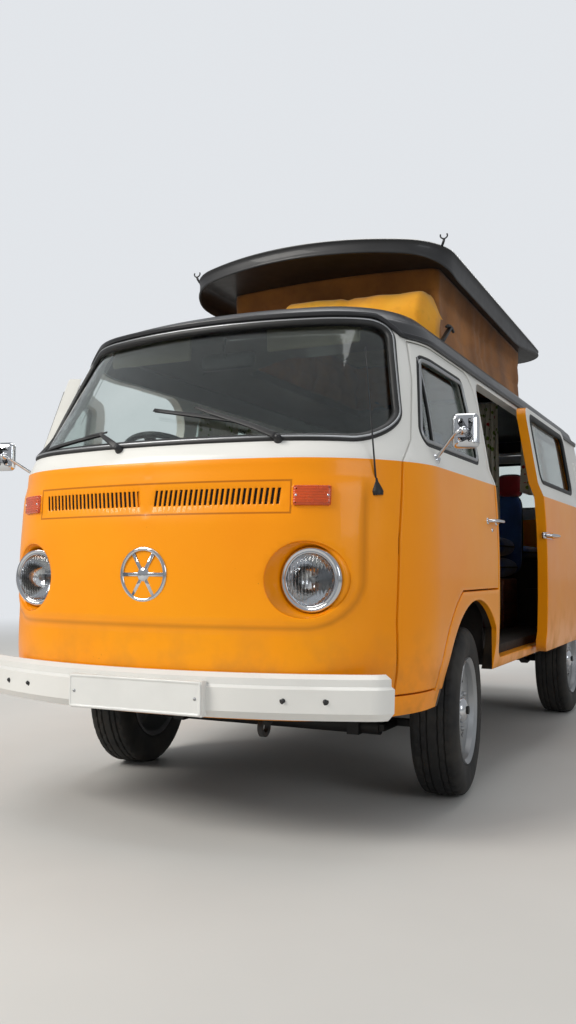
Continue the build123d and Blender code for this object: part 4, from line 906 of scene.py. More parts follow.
NODE_FINISH = {
    "nose": "paint", "side_left": "side_paint", "side_right": "side_paint", "tail": "paint", "cab_door_left": "paint",
    "cab_door_right": "paint", "sliding_door": "door_paint", "tailgate": "paint", "engine_lid": "paint",
    "roof": "roof", "floor": "floor_mat", "chassis": "chassis", "axles": "chassis", "knuckle_left": "chassis",
    "knuckle_right": "chassis", "engine": "engine", "fixed_windows": "glass", "cab_glass_left": "glass",
    "cab_glass_right": "glass", "tailgate_glass": "glass", "front_bumper": "white", "rear_bumper": "white",
    "nose_trim": "chrome", "headlamp_lenses": "glass", "indicators": "plastic", "tail_lamps": "plastic",
    "wipers": "plastic", "dashboard": "plastic", "steering_wheel": "plastic", "seats": "lining",
    "cabinets": "wood", "canvas": "lining", "poptop_rim": "rubber", "poptop_shell": "white",
    "roof_catches": "rubber", "door_fittings_left": "chrome", "door_fittings_right": "chrome",
}
for end in ("front", "rear"):
    for _, hand in HANDS:
        NODE_FINISH[f"tyre_{end}_{hand}"] = "rubber"
        NODE_FINISH[f"rim_{end}_{hand}"] = "silver"
for name, finish in NODE_FINISH.items():
    nodes[name].data.materials.clear()
    nodes[name].data.materials.append(materials[finish])

# ---------------------------------------------------------------- body panels


def smoothstep(t):
    t = np.clip(t, 0, 1)
    return t * t * (3 - 2 * t)


def nose_relief(points):
    """Styling of the nose: the raised plateau round the lamps, and the sunk band with the air slots."""
    x, z = np.abs(points[:, 0]), points[:, 2]
    dx = np.maximum(x - (PLATEAU_HALF - PLATEAU_CORNER), 0)
    dz = np.maximum((PLATEAU_LOW + PLATEAU_CORNER) - z, 0)
    inward = PLATEAU_CORNER - np.hypot(dx, dz)
    plateau = smoothstep((inward + 7) / 14) * smoothstep((PLATEAU_HIGH - z) / 60)
    band = smoothstep((BAND_HIGH - z) / 4) * smoothstep((z - BAND_LOW) / 4) * smoothstep((BAND_HALF - x) / 4)
    return PLATEAU_RISE * plateau - BAND_DEPTH * band * plateau


def slot_holes():
    """Air slots of the left half, slanted, in the unrolled plane; the right half's lie mirrored."""
    holes = []
    for first, count in SLOT_GROUPS:
        for i in range(count):
            x = first + i * SLOT_PITCH
            if x > 0:
                low, high, half = SLOT_Z - SLOT_HEIGHT / 2, SLOT_Z + SLOT_HEIGHT / 2, SLOT_WIDTH / 2
                corners = [(x - half - 3, low), (x + half - 3, low), (x + half + 3, high), (x - half + 3, high)]
                holes.append(from_front(dense(corners, 8)))
    return holes


def window_loop(front, rear):
    return from_side(dense(rounded(rectangle(front, rear, WINDOW_BOTTOM, WINDOW_TOP), WINDOW_CORNER, 8), 20))


def side_loop(points, radius):
    return from_side(dense(rounded(points, radius, 8), 16))


door_loop = from_side(dense(door_outline(), 14))
door_glass = side_loop(DOOR_WINDOW, DOOR_WINDOW_CORNER)
middle_glass, rear_glass = window_loop(*MIDDLE_WINDOW), window_loop(*REAR_WINDOW)
slide_glass = window_loop(SLIDE_FRONT_Y + SLIDE_FRAME, SLIDE_REAR_Y - SLIDE_FRAME)
slide_loop = side_loop(
    rectangle(SLIDE_FRONT_Y, SLIDE_REAR_Y, SLIDE_DOOR_BOTTOM_Z, SLIDE_TOP_Z, -PANEL_GAP), SLIDE_CORNER
)


def arch_points(axle_y, arch):
    """Wheel arch from its front foot over to its rear foot, as the source cuts it."""
    radius, rear, top = arch
    points = []
    first = math.asin((SILL_Z - AXLE_Z) / radius)
    for i in range(31):
        a = math.pi - first - (math.pi - 2 * first) * i / 30
        y, z = radius * math.cos(a), radius * math.sin(a)
        points.append((axle_y + min(y, rear), min(AXLE_Z + z, top)))
    return points[:-1] + [(axle_y + rear, SILL_Z)]


def side_outline():
    """A side panel behind the cab door, with both arches."""
    door = door_outline(PANEL_GAP)
    top = GUTTER_Z - 1
    # the cab door's rear edge from its top corner down to the arch, then forward along the arch to the sill
    behind = [p for p in door if p[0] > FRONT_AXLE_Y or p[1] > DOOR_TOP_Z]
    over = sorted([p for p in behind if p[1] > DOOR_TOP_Z - 160], key=lambda p: p[0] - p[1])
    down = [(DOOR_REAR_Y + PANEL_GAP, DOOR_STEP_Z - PANEL_GAP)]
    lip = door_lip(DOOR_ARCH_R - PANEL_GAP, DOOR_STEP_Z - PANEL_GAP, SILL_Z, 20)
    front_arch = arch_points(FRONT_AXLE_Y, FRONT_ARCH)
    rear_arch = arch_points(REAR_AXLE_Y, REAR_ARCH)
    tail_edge = [(TAIL_Y, SILL_Z), (TAIL_Y, top)]
    return [*over, *down, *lip, *front_arch, *rear_arch, *tail_edge, (over[0][0], top)]


LAMP_HOLE = dense(circle(LAMP[0] - 7, LAMP[2], 121, 64), 14)
skin(
    "nose_skin", nose_outline(), [*slot_holes(), from_front(LAMP_HOLE)], "nose", LEFT, relief=nose_relief, both=True,
    lift=2.6, thick=3.2
)
for carrier, hand in ((DOOR_LEFT, "left"), (DOOR_RIGHT, "right")):
    skin(f"cab_door_skin_{hand}", door_loop, [door_glass], "paint", carrier)
skin("sliding_door_skin", slide_loop, [slide_glass], "paint", SLIDING)
slide_hole = side_loop(rectangle(SLIDE_FRONT_Y, SLIDE_REAR_Y, SLIDE_BOTTOM_Z, SLIDE_TOP_Z), SLIDE_CORNER)
skin("side_skin_left", from_side(dense(side_outline(), 14)), [slide_hole, rear_glass], "paint", LEFT)
skin("side_skin_right", from_side(dense(side_outline(), 14)), [middle_glass, rear_glass], "paint", RIGHT)

# ---------------------------------------------------------------- rubber round the panes

SEAL = [(-15, -13), (-14, 1), (-8, 5.5), (0, 7), (8, 6), (11, 2), (10, -1)]
SCREEN_SEAL = [(-20, -12), (-18, 2), (-11, 8), (-2, 10), (9, 8), (14, 3), (13, -1)]
DOOR_SEAL = [(-5, -12), (-5, 0), (-2, 3.2), (3, 3.4), (9, 2), (11, -1), (11, -6)]
DOOR_FRAME = [(-19, -2), (-18.5, 3), (-15, 5.6), (-9, 5.8), (-5, 4), (-4.5, 0)]
SEAL_TRIM = [(-4, 8), (-3, 10.4), (0, 11.2), (3, 10.4), (4, 8)]


def seal(name, loop, carrier, profile=SEAL, material="rubber"):
    """Rubber that holds a pane: its profile runs round the pane's opening on the body's skin."""
    points, normals = body_frame(loop[:, 0], loop[:, 1])
    if anticlockwise(loop) != (carrier.side > 0):
        profile = [(-u, v) for u, v in profile]
    return sweep(name, carrier.points(points), carrier.directions(normals), profile, material, carrier.body)


def even_frame(loop, low, high, last=S_END):
    """Places and normals on the skin round a loop of the front or rear view that is even about the mid-plane."""
    s = np.minimum(solve(loop[:, 1], np.abs(loop[:, 0]), 0, low, high), last)
    points, normals = body_frame(s, loop[:, 1])
    mirror = np.column_stack([np.where(loop[:, 0] < 0, -1.0, 1.0), np.ones((len(loop), 2))])
    return points * mirror, normals * mirror


bottom, top, half_bottom, half_top = SCREEN
screen = [(half_bottom, bottom), (half_top, top), (-half_top, top), (-half_bottom, bottom)]
screen_points, screen_normals = even_frame(dense(rounded(screen, SCREEN_CORNER, 12), 16), 0, S_SIDE)
sweep("windscreen_rubber", screen_points, screen_normals, SCREEN_SEAL, "rubber", "body")
sweep("windscreen_trim", screen_points, screen_normals, SEAL_TRIM, "silver", "body")
for carrier, hand in ((DOOR_LEFT, "left"), (DOOR_RIGHT, "right")):
    seal(f"door_rubber_{hand}", door_glass, carrier, DOOR_SEAL)
    seal(f"door_frame_{hand}", door_glass, carrier, DOOR_FRAME, "silver")
seal("slide_rubber", slide_glass, SLIDING)
seal("rear_rubber_left", rear_glass, LEFT)
seal("rear_rubber_right", rear_glass, RIGHT)
seal("middle_rubber_right", middle_glass, RIGHT)

# ---------------------------------------------------------------- round pieces and bars


def around(axis):
    """An axis as a unit vector, and two more that are square to it and to each other."""
    axis = np.asarray(axis, float) / np.linalg.norm(axis)
    across = np.cross(axis, (0, 0, 1) if abs(axis[2]) < 0.9 else (1, 0, 0))
    across /= np.linalg.norm(across)
    return axis, across, np.cross(axis, across)


def circle_of(across, other, steps):
    angles = np.arange(steps) * 2 * np.pi / steps
    return np.cos(angles)[:, None] * across + np.sin(angles)[:, None] * other


def revolved(name, profile, centre, axis, material, body, steps):
    """A turned piece. Profile rows: radius, then distance along the axis from the centre."""
    axis, across, other = around(axis)
    ring = circle_of(across, other, steps)
    profile = np.asarray(profile, float)
    rows = np.asarray(centre, float) + ring[:, None] * profile[None, :, :1] + axis * profile[None, :, 1:]
    return lattice(name, rows, material, body, True, False)


def bar(name, points, section, material, body, up=(0, 0, 1), scale=None):
    """A bar along drawing points: section rows are offsets across and upwards; scale is one factor a point."""
    points, up = np.asarray(points, float), np.asarray(up, float)
    along = np.gradient(points, axis=0)
    along /= np.linalg.norm(along, axis=1, keepdims=True)
    across = np.cross(along, up)
    across /= np.linalg.norm(across, axis=1, keepdims=True)
    above = np.cross(across, along)
    section = np.asarray(section, float)
    size = np.ones(len(points)) if scale is None else np.asarray(scale, float)
    offsets = across[:, None] * section[None, :, :1] + above[:, None] * section[None, :, 1:]
    rows = points[:, None] + size[:, None, None] * offsets
    return lattice(name, rows, material, body, False, True, caps=True)


def round_section(radius, steps=12):
    return circle(0, 0, radius, steps)


def box_section(width, height, corner=0.25):
    half, top = width / 2, height / 2
    cut = min(half, top) * corner * 2
    return rounded(rectangle(-half, half, -top, top), cut, 3)


def curve_through(points, steps):
    """Smooth points through some places."""
    p = np.asarray(points, float)
    p = np.concatenate([[2 * p[0] - p[1]], p, [2 * p[-1] - p[-2]]])
    made = []
    for i in range(1, len(p) - 2):
        for t in np.arange(steps) / steps:
            a, b, c, d = p[i - 1], p[i], p[i + 1], p[i + 2]
            bend, twist = 2 * a - 5 * b + 4 * c - d, 3 * b - a - 3 * c + d
            made.append(0.5 * (2 * b + (c - a) * t + bend * t**2 + twist * t**3))
    made.append(p[-2])
    return np.array(made)


def boss(name, loop, rows, material, carrier):
    """A raised piece on the body's skin over a loop. Rows: how far in from the loop, and how high."""
    loop = np.asarray(loop, float)
    layers = []
    for inset, height in rows:
        points, normals = body_frame(*shrunk(loop, inset).T)
        layers.append(carrier.points(points + normals * height))
    made = lattice(name, layers, material, None, False, True)
    count = len(loop)
    with editing(made) as bm:
        bm.verts.ensure_lookup_table()
        bm.faces.new([bm.verts[(len(rows) - 1) * count + j] for j in range(count)])
        bmesh.ops.recalc_face_normals(bm, faces=bm.faces)
    made.data.polygons.foreach_set("use_smooth", [True] * len(made.data.polygons))
    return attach(made, carrier.body)


def creased(piece, angle):
    """Smooth shading with edges left sharp where faces meet at more than an angle."""
    with editing(piece) as bm:
        for edge in bm.edges:
            edge.smooth = len(edge.link_faces) == 2 and edge.calc_face_angle(0) < math.radians(angle)


# ---------------------------------------------------------------- lamps, badge ring and aerial

lens = Shader("lamp_glass", 0.05, specular=0.6)
lens.base(srgb(226, 228, 226))
lens.principled.inputs["Transmission Weight"].default_value = 1.0
lens.principled.inputs["IOR"].default_value = GLASS_IOR
lens.bump(lens.wave(26, "X"), 0.0012, 0.6)
lens.bump(lens.wave(9, "Z"), 0.0008, 0.4)
lens.roughness(lens.noise(30, 3), 0.03, 0.12)
materials["lens"] = lens.material


def lamp_plastic(name, colour, lines):
    """Ribbed see-through plastic of an indicator or tail lamp."""
    shader = Shader(name, 0.22, coat=0.5)
    shader.base(shader.mix(shader.ramp(shader.noise(14, 4), 0.35, 0.7), colour, dimmed(colour, 0.72)))
    shader.principled.inputs["Transmission Weight"].default_value = 0.25
    shader.principled.inputs["Subsurface Weight"].default_value = 0.15
    shader.principled.inputs["Subsurface Radius"].default_value = (0.02, 0.01, 0.005)
    shader.bump(shader.wave(lines, "Z"), 0.0015, 0.8)
    shader.roughness(shader.noise(50, 3), 0.15, 0.35)
    return shader.material


materials["amber"] = lamp_plastic("indicator_plastic", srgb(242, 92, 10), 36)
materials["red"] = lamp_plastic("tail_lamp_plastic", srgb(170, 14, 10), 30)
materials["clear"] = lamp_plastic("reversing_plastic", srgb(214, 212, 206), 30)

SCREW = [(0.5, -2.2), (3.4, -1.8), (4.2, 0.5)]
BOWL_RIM_R = 106.5


def lamp_bowl(side, hand):
    """Painted hollow between the nose's skin and the lamp's chrome ring."""
    hole = from_front(LAMP_HOLE)
    points, normals = body_frame(hole[:, 0], hole[:, 1])
    outer = points + normals * (1.6 + nose_relief(points))[:, None]
    lip = outer + normals * -2.0
    angle = np.arctan2(LAMP_HOLE[:, 1] - LAMP[2], LAMP_HOLE[:, 0] - LAMP[0])
    across, above = BOWL_RIM_R * np.cos(angle), BOWL_RIM_R * np.sin(angle)
    rim = np.stack([LAMP[0] + across, np.full(len(angle), LAMP[1] + 14.0), LAMP[2] + above], -1)
    back = rim + (0, 10, 0)
    middle = lip * 0.45 + rim * 0.55 + (0, 3.0, 0)
    rows = np.array([outer, lip, middle, rim, back]) * (side, 1, 1)
    lattice(f"lamp_bowl_{hand}", rows, "paint", "body", False, True)


for side, hand in HANDS:
    centre = (side * LAMP[0], LAMP[1], LAMP[2])
    lamp_bowl(side, hand)
    bezel = revolved(
        f"lamp_ring_{hand}",
        [
            (85, 10), (84, 1), (86.5, -1.5), (90, 1), (93, 0),
            (98, -2.5), (102.5, -0.5), (105.4, 5), (106.2, 12), (105.6, 24),
        ],
        centre, (0, 1, 0), "chrome", "body", 96,
    )
    glass = revolved(
        f"lamp_lens_{hand}",
        [(84.5, 8), (84, 4), (80, 0.5), (70, -3.5), (55, -7), (38, -9.5), (20, -11), (6, -11.5), (0.5, -11.5)],
        centre, (0, 1, 0), "lens", "body", 96,
    )
    bowl = [(83 * math.sqrt(t), 62 - 56 * t) for t in np.linspace(0.004, 1, 16)]
    revolved(f"lamp_reflector_{hand}", [(r, d) for r, d in reversed(bowl)], centre, (0, 1, 0), "chrome", "body", 64)
    revolved(
        f"lamp_bulb_{hand}", [(0.5, 22), (8, 24), (12, 32), (12, 44), (9, 58)], centre, (0, 1, 0), "silver", "body",
        24
    )
    if side > 0:
        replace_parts(bezel, "nose_trim")
        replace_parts(glass, "headlamp_lenses")
    screw = (side * LAMP[0], LAMP[1] + 3, LAMP[2] - 99)
    revolved(f"lamp_screw_{hand}", [(0.5, -3.5), (4, -3), (5, 0), (5, 4)], screw, (0, 1, 0), "chrome", "body", 16)
    # indicator: amber lens in a painted base with a thin frame
    x, z = INDICATOR
    loop = from_front(dense(rounded(rectangle(x - 55, x + 55, z - 35, z + 35), 9, 5), 9))
    carrier = LEFT if side > 0 else RIGHT
    boss(f"indicator_base_{hand}", loop, [(-3, 2), (-3, 8), (-1, 10.5), (3, 11)], "paint", carrier)
    lamp = boss(
        f"indicator_lens_{hand}", loop, [(2.5, 8), (2.5, 15), (4, 19.5), (8, 21.5), (14, 22)], "amber", carrier,
    )
    if side > 0:
        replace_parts(lamp, "indicators")
    for dx in (-44, 44):
        spot, normal = skin_spot(from_front, x + dx, z, 21.5)
        revolved(
            f"indicator_screw_{hand}_{'in' if dx < 0 else 'out'}", SCREW, carrier.spot(spot),
            -carrier.heading(normal), "chrome", "body", 14
        )

BADGE = (0, 42, 856)
revolved(
    "badge_ring", [(79, 8), (78.5, 3), (80.5, 0.5), (85, -0.6), (89.5, 0.5), (91.8, 3.5), (92, 9)], BADGE, (0, 1, 0),
    "chrome", "body", 96
)
for i, turn in enumerate((0, 60, 120)):
    a = math.radians(turn)
    reach = np.array([math.cos(a), 0, math.sin(a)])
    ends = [np.array(BADGE) + (0, 5, 0) + reach * d for d in (-82, -30, 30, 82)]
    bar(f"badge_spoke_{i}", ends, box_section(13, 6, 0.3), "chrome", "body", up=(0, -1, 0))
revolved("badge_hub", [(0.5, -1.5), (10, -1), (20, 1), (24, 4), (24, 9)], BADGE, (0, 1, 0), "chrome", "body", 48)

FOOT = np.array((724, 314, 1128.0))
lean = np.array((-0.065, -0.04, 1.0))
lean /= np.linalg.norm(lean)
OUTWARD = np.array([0.35, -0.94, 0])
revolved(
    "aerial_base", [(0.5, 44), (6, 42), (8, 30), (13, 20), (20, 4), (22, -2), (20, -14)], FOOT + OUTWARD * 8, lean,
    "rubber", "body", 32
)
rod = [
    FOOT + lean * d + OUTWARD * h
    for d, h in ((34, 8), (60, 19), (110, 25), (200, 22), (300, 15), (400, 9), (474, 4))
]
bar(
    "aerial_rod", rod, round_section(2.8, 8), "plastic", "body", up=(0, 1, 0),
    scale=(1.3, 1.2, 1.1, 1, 0.85, 0.7, 0.6)
)

# ---------------------------------------------------------------- wipers

WIPERS = [
    ((-147, 112, 1284), (-263, 158, 1346), ((-544, 204, 1312), (-255, 155, 1350))),
    ((443, 172, 1293), (109, 193, 1421), ((-64, 195, 1427), (324, 172, 1354))),
]


def screen_place(x, z, height):
    """A place of the front view raised over the skin by a height, with its normal."""
    s = solve(z, abs(x), 0, 0, S_SIDE)
    point, normal = body_frame(np.reshape(s, 1), np.reshape(float(z), 1))
    flip = np.array([-1 if x < 0 else 1, 1, 1])
    return (point[0] + normal[0] * height) * flip, normal[0] * flip


for (pivot, elbow, blade), hand in zip(WIPERS, ("right", "left")):
    foot, normal = screen_place(pivot[0], pivot[2], 6)
    cap = revolved(
        f"wiper_pivot_{hand}", [(0.5, 22), (7, 21), (11, 17), (12, 8), (15, 2), (16, -6)], foot, normal, "plastic",
        "body", 28
    )
    if hand == "right":
        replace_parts(cap, "wipers")
    head, head_normal = screen_place(elbow[0], elbow[2], 17)
    waist = foot + normal * 17 + (head - foot) * 0.32
    arm = curve_through([foot + normal * 15, waist, head + (foot - head) * 0.18, head], 6)
    bar(
        f"wiper_arm_{hand}", arm, box_section(16, 7, 0.4), "plastic", "body", up=normal,
        scale=np.interp(np.arange(len(arm)), (0, len(arm) * 0.4, len(arm)), (1.5, 1.2, 0.6))
    )
    first, last = blade
    line = []
    for t in np.linspace(0, 1, 13):
        x, z = first[0] + (last[0] - first[0]) * t, first[2] + (last[2] - first[2]) * t
        line.append(screen_place(x, z, 3.5)[0])
    line = np.array(line)
    bar(f"wiper_rubber_{hand}", line, box_section(5, 11, 0.4), "rubber", "body", up=head_normal)
    bar(f"wiper_blade_{hand}", line + head_normal * 6, box_section(14, 5, 0.4), "plastic", "body", up=head_normal)
    share = np.clip(np.linalg.norm(head - line[0]) / np.linalg.norm(line[-1] - line[0]), 0.2, 0.8)
    hub = line[0] + (line[-1] - line[0]) * share
    reach = (line[-1] - line[0]) * 0.27
    arch = curve_through([hub - reach + head_normal * 7, hub + head_normal * 14, hub + reach + head_normal * 7], 6)
    bar(f"wiper_bridge_{hand}", arch, box_section(8, 4, 0.4), "plastic", "body", up=head_normal)

# ---------------------------------------------------------------- mirrors and handles of the cab doors

MIRROR = (952, 560, 1345)
MIRROR_TURN = 12


def door_fittings(carrier, hand):
    """Chrome mirror on its arm and the door's handle, drawn on the shut left door."""
    a = math.radians(MIRROR_TURN)
    wide, deep = np.array((math.cos(a), math.sin(a), 0)), np.array((-math.sin(a), math.cos(a), 0))
    outline = np.array(rounded(rectangle(-46, 46, -60, 60), 20, 6))

    def rings(layers):
        rows = []
        for inset, depth in layers:
            ring = shrunk(outline, inset)
            rows.append(np.array(MIRROR) + ring[:, :1] * wide + ring[:, 1:] * np.array((0, 0, 1)) + deep * depth)
        return carrier.points(rows)

    rows = rings(((4, 13), (0, 10), (0, 3), (3, -5), (10, -11), (22, -14), (36, -15.5)))
    shell = lattice(f"mirror_shell_{hand}", rows, "chrome", carrier.body, False, True, caps=True)
    rows = rings(((4.5, 10.5), (6, 11)))
    lattice(f"mirror_glass_{hand}", rows, "mirror", carrier.body, False, True, caps=True)
    knee = [
        (818, 640, 1262), (838, 620, 1272), (878, 578, 1300), (922, 536, 1332), (944, 532, 1344), (950, 545, 1345)
    ]
    bar(f"mirror_arm_{hand}", carrier.points(curve_through(knee, 6)), round_section(6.2), "chrome", carrier.body)
    revolved(
        f"mirror_ball_{hand}", [(0.5, 22), (8, 20), (13, 12), (15, 4), (20, 0), (22, -3)],
        carrier.spot((950, 546, 1345.0)), carrier.heading(-deep), "chrome", carrier.body, 24
    )
    point, normal = skin_spot(from_side, 640, 1262, 2)
    revolved(
        f"mirror_foot_{hand}", [(0.5, 12), (8, 11), (13, 7), (17, 3), (19, 0)], carrier.spot(point),
        carrier.heading(normal), "chrome", carrier.body, 32
    )
    handle_pieces(carrier, hand, (1330, 1072))
    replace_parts(shell, f"door_fittings_{hand}")


def handle_pieces(carrier, hand, where):
    """Chrome grip on two feet with its push button."""
    point, normal = skin_spot(from_side, *where, 2)
    grip = [
        point + normal * h + (0, d, 0)
        for d, h in ((-72, 3), (-67, 18), (-50, 31), (0, 35), (50, 31), (67, 18), (72, 3))
    ]
    bar(
        f"handle_grip_{hand}", carrier.points(curve_through(grip, 5)), box_section(25, 13, 0.45), "chrome",
        carrier.body
    )
    for d in (-70, 70):
        foot = point + (0, d, 0)
        revolved(
            f"handle_foot_{hand}_{'front' if d < 0 else 'rear'}", [(0.5, 7), (9, 6), (13, 3), (14, -1)],
            carrier.spot(foot), carrier.heading(normal), "chrome", carrier.body, 24
        )
    lock = point + (0, 0, -34)
    revolved(
        f"handle_lock_{hand}", [(0.5, 5), (6, 5), (9, 3), (10, -1)], carrier.spot(lock), carrier.heading(normal),
        "chrome", carrier.body, 24
    )


door_fittings(DOOR_LEFT, "left")
door_fittings(DOOR_RIGHT, "right")

# ---------------------------------------------------------------- wheels

tread = Shader("tyre_rubber", 0.72)
tread.base(tread.mix(tread.ramp(tread.noise(7, 5), 0.35, 0.75), srgb(22, 22, 23), srgb(52, 49, 44)))
tread.roughness(tread.noise(20, 4), 0.6, 0.9)
tread.bump(tread.noise(160, 2), 0.0003)
materials["tyre"] = tread.material


def tyre(name, centre, axis, body):
    """Tyre with rounded shoulders, a plain wall and grooved tread blocks."""
    half = [
        (-64, 197), (-72, 200), (-79, 208), (-84, 220), (-88, 240), (-90, 262), (-89, 280), (-86, 294), (-82, 303)
    ]
    shoulder = [(-77, 311), (-70, 318), (-62, 322)]
    lanes = np.linspace(-58, 58, 25)
    profile = half + shoulder + [(x, 324.6 - (x / 62) ** 2 * 3.0) for x in lanes]
    profile += [(-x, r) for x, r in reversed(half + shoulder)]
    profile = np.array(profile, float)
    steps = 144
    x = np.tile(profile[:, 0], (steps, 1))
    r = np.tile(profile[:, 1], (steps, 1))
    turn = np.arange(steps)[:, None]
    lane = np.abs(x)
    outer = r > 318
    groove = outer & ((np.abs(lane - 18) < 3.0) | (np.abs(lane - 43) < 3.0))
    slot = outer & (((turn + np.where(lane > 43, 2, 0) + (x > 0)) % 4) == 0) & (lane > 18)
    sipe = outer & (lane <= 18) & ((turn % 6) == 0)
    r = r - np.where(groove, 7.0, 0) - np.where(slot & ~groove, 5.0, 0) - np.where(sipe & ~groove, 2.5, 0)
    shoulder_cut = (r > 308) & (r <= 319) & ~outer & ((turn % 4) == 0)
    r = r - np.where(shoulder_cut, 3.0, 0)
    axis, across, other = around(axis)
    ring = circle_of(across, other, steps)
    rows = np.asarray(centre, float) + ring[:, None] * r[..., None] + axis * x[..., None]
    made = lattice(f"{name}_rubber", rows, "tyre", body, True, False)
    creased(made, 35)
    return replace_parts(made, name)


def wheel_details(name, centre, outward, body):
    """What is fixed to a rim: its hub cap, its bolts, and black cups of painted shade for the ventilation holes."""
    outward, across, other = around(outward)
    revolved(
        f"{name}_cap", [(0.5, 78), (16, 77), (32, 74), (44, 68), (50, 60), (51, 52)], centre, outward, "chrome",
        body, 48
    )
    for kind, count, turn, far, profile, material, steps in (
        ("bolt", 5, 0.3, 72, [(0.5, 66), (7, 66), (9.5, 63), (10, 52)], "silver", 6),
        # the ventilation holes: dark cups, painted shade
        ("hole", 10, math.pi / 10, 134, [(0.5, 43.5), (9, 43.5), (12, 45.2), (13.5, 44), (13.5, 40)], "dark", 20),
    ):
        for i in range(count):
            a = 2 * math.pi * i / count + turn
            spot = centre + (across * math.cos(a) + other * math.sin(a)) * far
            revolved(f"{name}_{kind}_{i}", profile, spot, outward, material, body, steps)


steer = math.radians(STEER_AT_REST)
for end, axle_y in (("front", FRONT_AXLE_Y), ("rear", REAR_AXLE_Y)):
    for side, hand in HANDS:
        body = f"wheel_{end}_{hand}"
        outward = np.array((side, 0, 0), float)
        centre = np.array((side * TYRE_X, axle_y, AXLE_Z), float)
        if end == "front":
            outward = side * np.array((math.cos(steer), math.sin(steer), 0))
            centre = np.array((side * KINGPIN_X, axle_y, AXLE_Z)) + outward * (TYRE_X - KINGPIN_X)
        tyre(f"tyre_{end}_{hand}", centre, outward, body)
        wheel_details(f"rim_{end}_{hand}", centre, outward, body)

# ---------------------------------------------------------------- roof skin and gutter

LID_PLAN = (1200, 1500, 230, 648, 3600)
LID_PIVOT = (3585, 2182)
LID_LEAN = math.radians(-1.6)
CANVAS = (542, 1600, 3310)
HATCH = (490, 1650, 3250)


def plan_loop(front, arc, corner, half, rear, inset=0.0, along=40):
    """Plan outline through the arcs of the CAD source, with the same count of points at any inset."""
    far, near, w, far_r, near_r = (size - inset for size in (arc, corner, half, REAR_ARC, REAR_CORNER))
    centre, k, t, centre_r, k_r, t_r = arcs(front + inset, far, near, w, rear - inset, far_r, near_r)
    line = [(far * math.sin(a), centre - far * math.cos(a)) for a in np.linspace(0, t, 20, endpoint=False)]
    turns = np.linspace(t, math.pi / 2, 16, endpoint=False)
    line += [(w - near + near * math.sin(a), k - near * math.cos(a)) for a in turns]
    line += [(w, y) for y in np.linspace(k, k_r, along, endpoint=False)]
    turns = np.linspace(0, math.pi / 2 - t_r, 14, endpoint=False)
    line += [(w - near_r + near_r * math.cos(a), k_r + near_r * math.sin(a)) for a in turns]
    line += [(far_r * math.sin(a), centre_r + far_r * math.cos(a)) for a in np.linspace(t_r, 0, 16)]
    return np.array(line + [(-x, y) for x, y in reversed(line[1:-1])])


def chord(radius, across):
    """How far a circle reaches at a distance across from its middle."""
    return np.sqrt(np.maximum(radius**2 - across**2, 0))


def roof_height(x, y):
    """Height of the roof's smooth surface over places x, y."""
    x, y = np.abs(np.asarray(x, float)), np.asarray(y, float)
    low, high = np.full(x.shape, float(GUTTER_Z)), np.full(x.shape, float(ROOF_SECTIONS[-1][0]))
    for _ in range(14):
        z = (low + high) / 2
        front, arc, corner, half, rear = section_at(z)
        near = np.minimum(REAR_CORNER, half - 20)
        centre, k, t, centre_r, k_r, t_r = arcs(front, arc, corner, half, rear, REAR_ARC, near)
        on_arc, on_rear = x <= arc * np.sin(t), x <= REAR_ARC * np.sin(t_r)
        start = np.where(on_arc, centre - chord(arc, x), k - chord(corner, np.maximum(x - half + corner, 0)))
        end = np.where(on_rear, centre_r + chord(REAR_ARC, x), k_r + chord(near, np.maximum(x - half + near, 0)))
        within = (x <= half) & (y >= start) & (y <= end)
        low, high = np.where(within, z, low), np.where(within, high, z)
    return (low + high) / 2


def smooth_roof(x, y):
    """The roof's height averaged a little, which rounds the edges between its layers."""
    turns = np.arange(6) * math.pi / 3
    spots = [(0, 0, 0.28)] + [(r * math.cos(a), r * math.sin(a), 0.06) for r in (30, 55) for a in turns]
    edge = roof_height(x, y)
    mean = sum(w * roof_height(x + dx, y + dy) for dx, dy, w in spots)
    share = np.clip((edge - 1800) / 50, 0, 1)
    return edge + (mean - edge) * share


roof_low = plan_loop(440 + 3, 1480, 400, 716 - 3, 4262 - 3)
roof_low = dense([tuple(p) for p in roof_low], 60)
hatch_loop = dense(rounded(rectangle(-HATCH[0], HATCH[0], *HATCH[1:]), 60, 6), 40)
roof_plane, roof_faces, _ = triangulated(roof_low, [hatch_loop], 42, 5)
heights = smooth_roof(roof_plane[:, 0], roof_plane[:, 1]) + 3.0
roof_skin = mesh_piece("roof_skin", placed(np.column_stack([roof_plane, heights])), roof_faces, "roof", "body")
thickness = roof_skin.modifiers.new("thickness", "SOLIDIFY")
thickness.thickness, thickness.offset = 0.003, -1

# the roof's steep edge above the gutter, as rows on the body's skin
edge_rows = []
stations = [
    np.linspace(STRETCHES[i], STRETCHES[i + 1], n, endpoint=False)
    for i, n in enumerate((20, 30, 60, 16, 20))
]
stations = np.concatenate(stations + [[S_END]])
pillar_at = float(solve(1740.0, PILLAR_Y, 1, 0, S_SIDE))
gutter_z = GUTTER_Z + 2 + (1785 - GUTTER_Z - 2) * smoothstep((pillar_at + 50 - stations) / 170)
for share in np.linspace(0, 1, 8):
    points, normals = body_frame(stations, gutter_z + 4 + (1792 - gutter_z - 4) * share)
    edge_rows.append(points + normals * 2.6)
edge_rows = np.array(edge_rows)
mirrored = edge_rows[:, -2:0:-1] * (-1, 1, 1)
lattice("roof_edge", np.concatenate([edge_rows, mirrored], 1), "roof", "body", False, True)

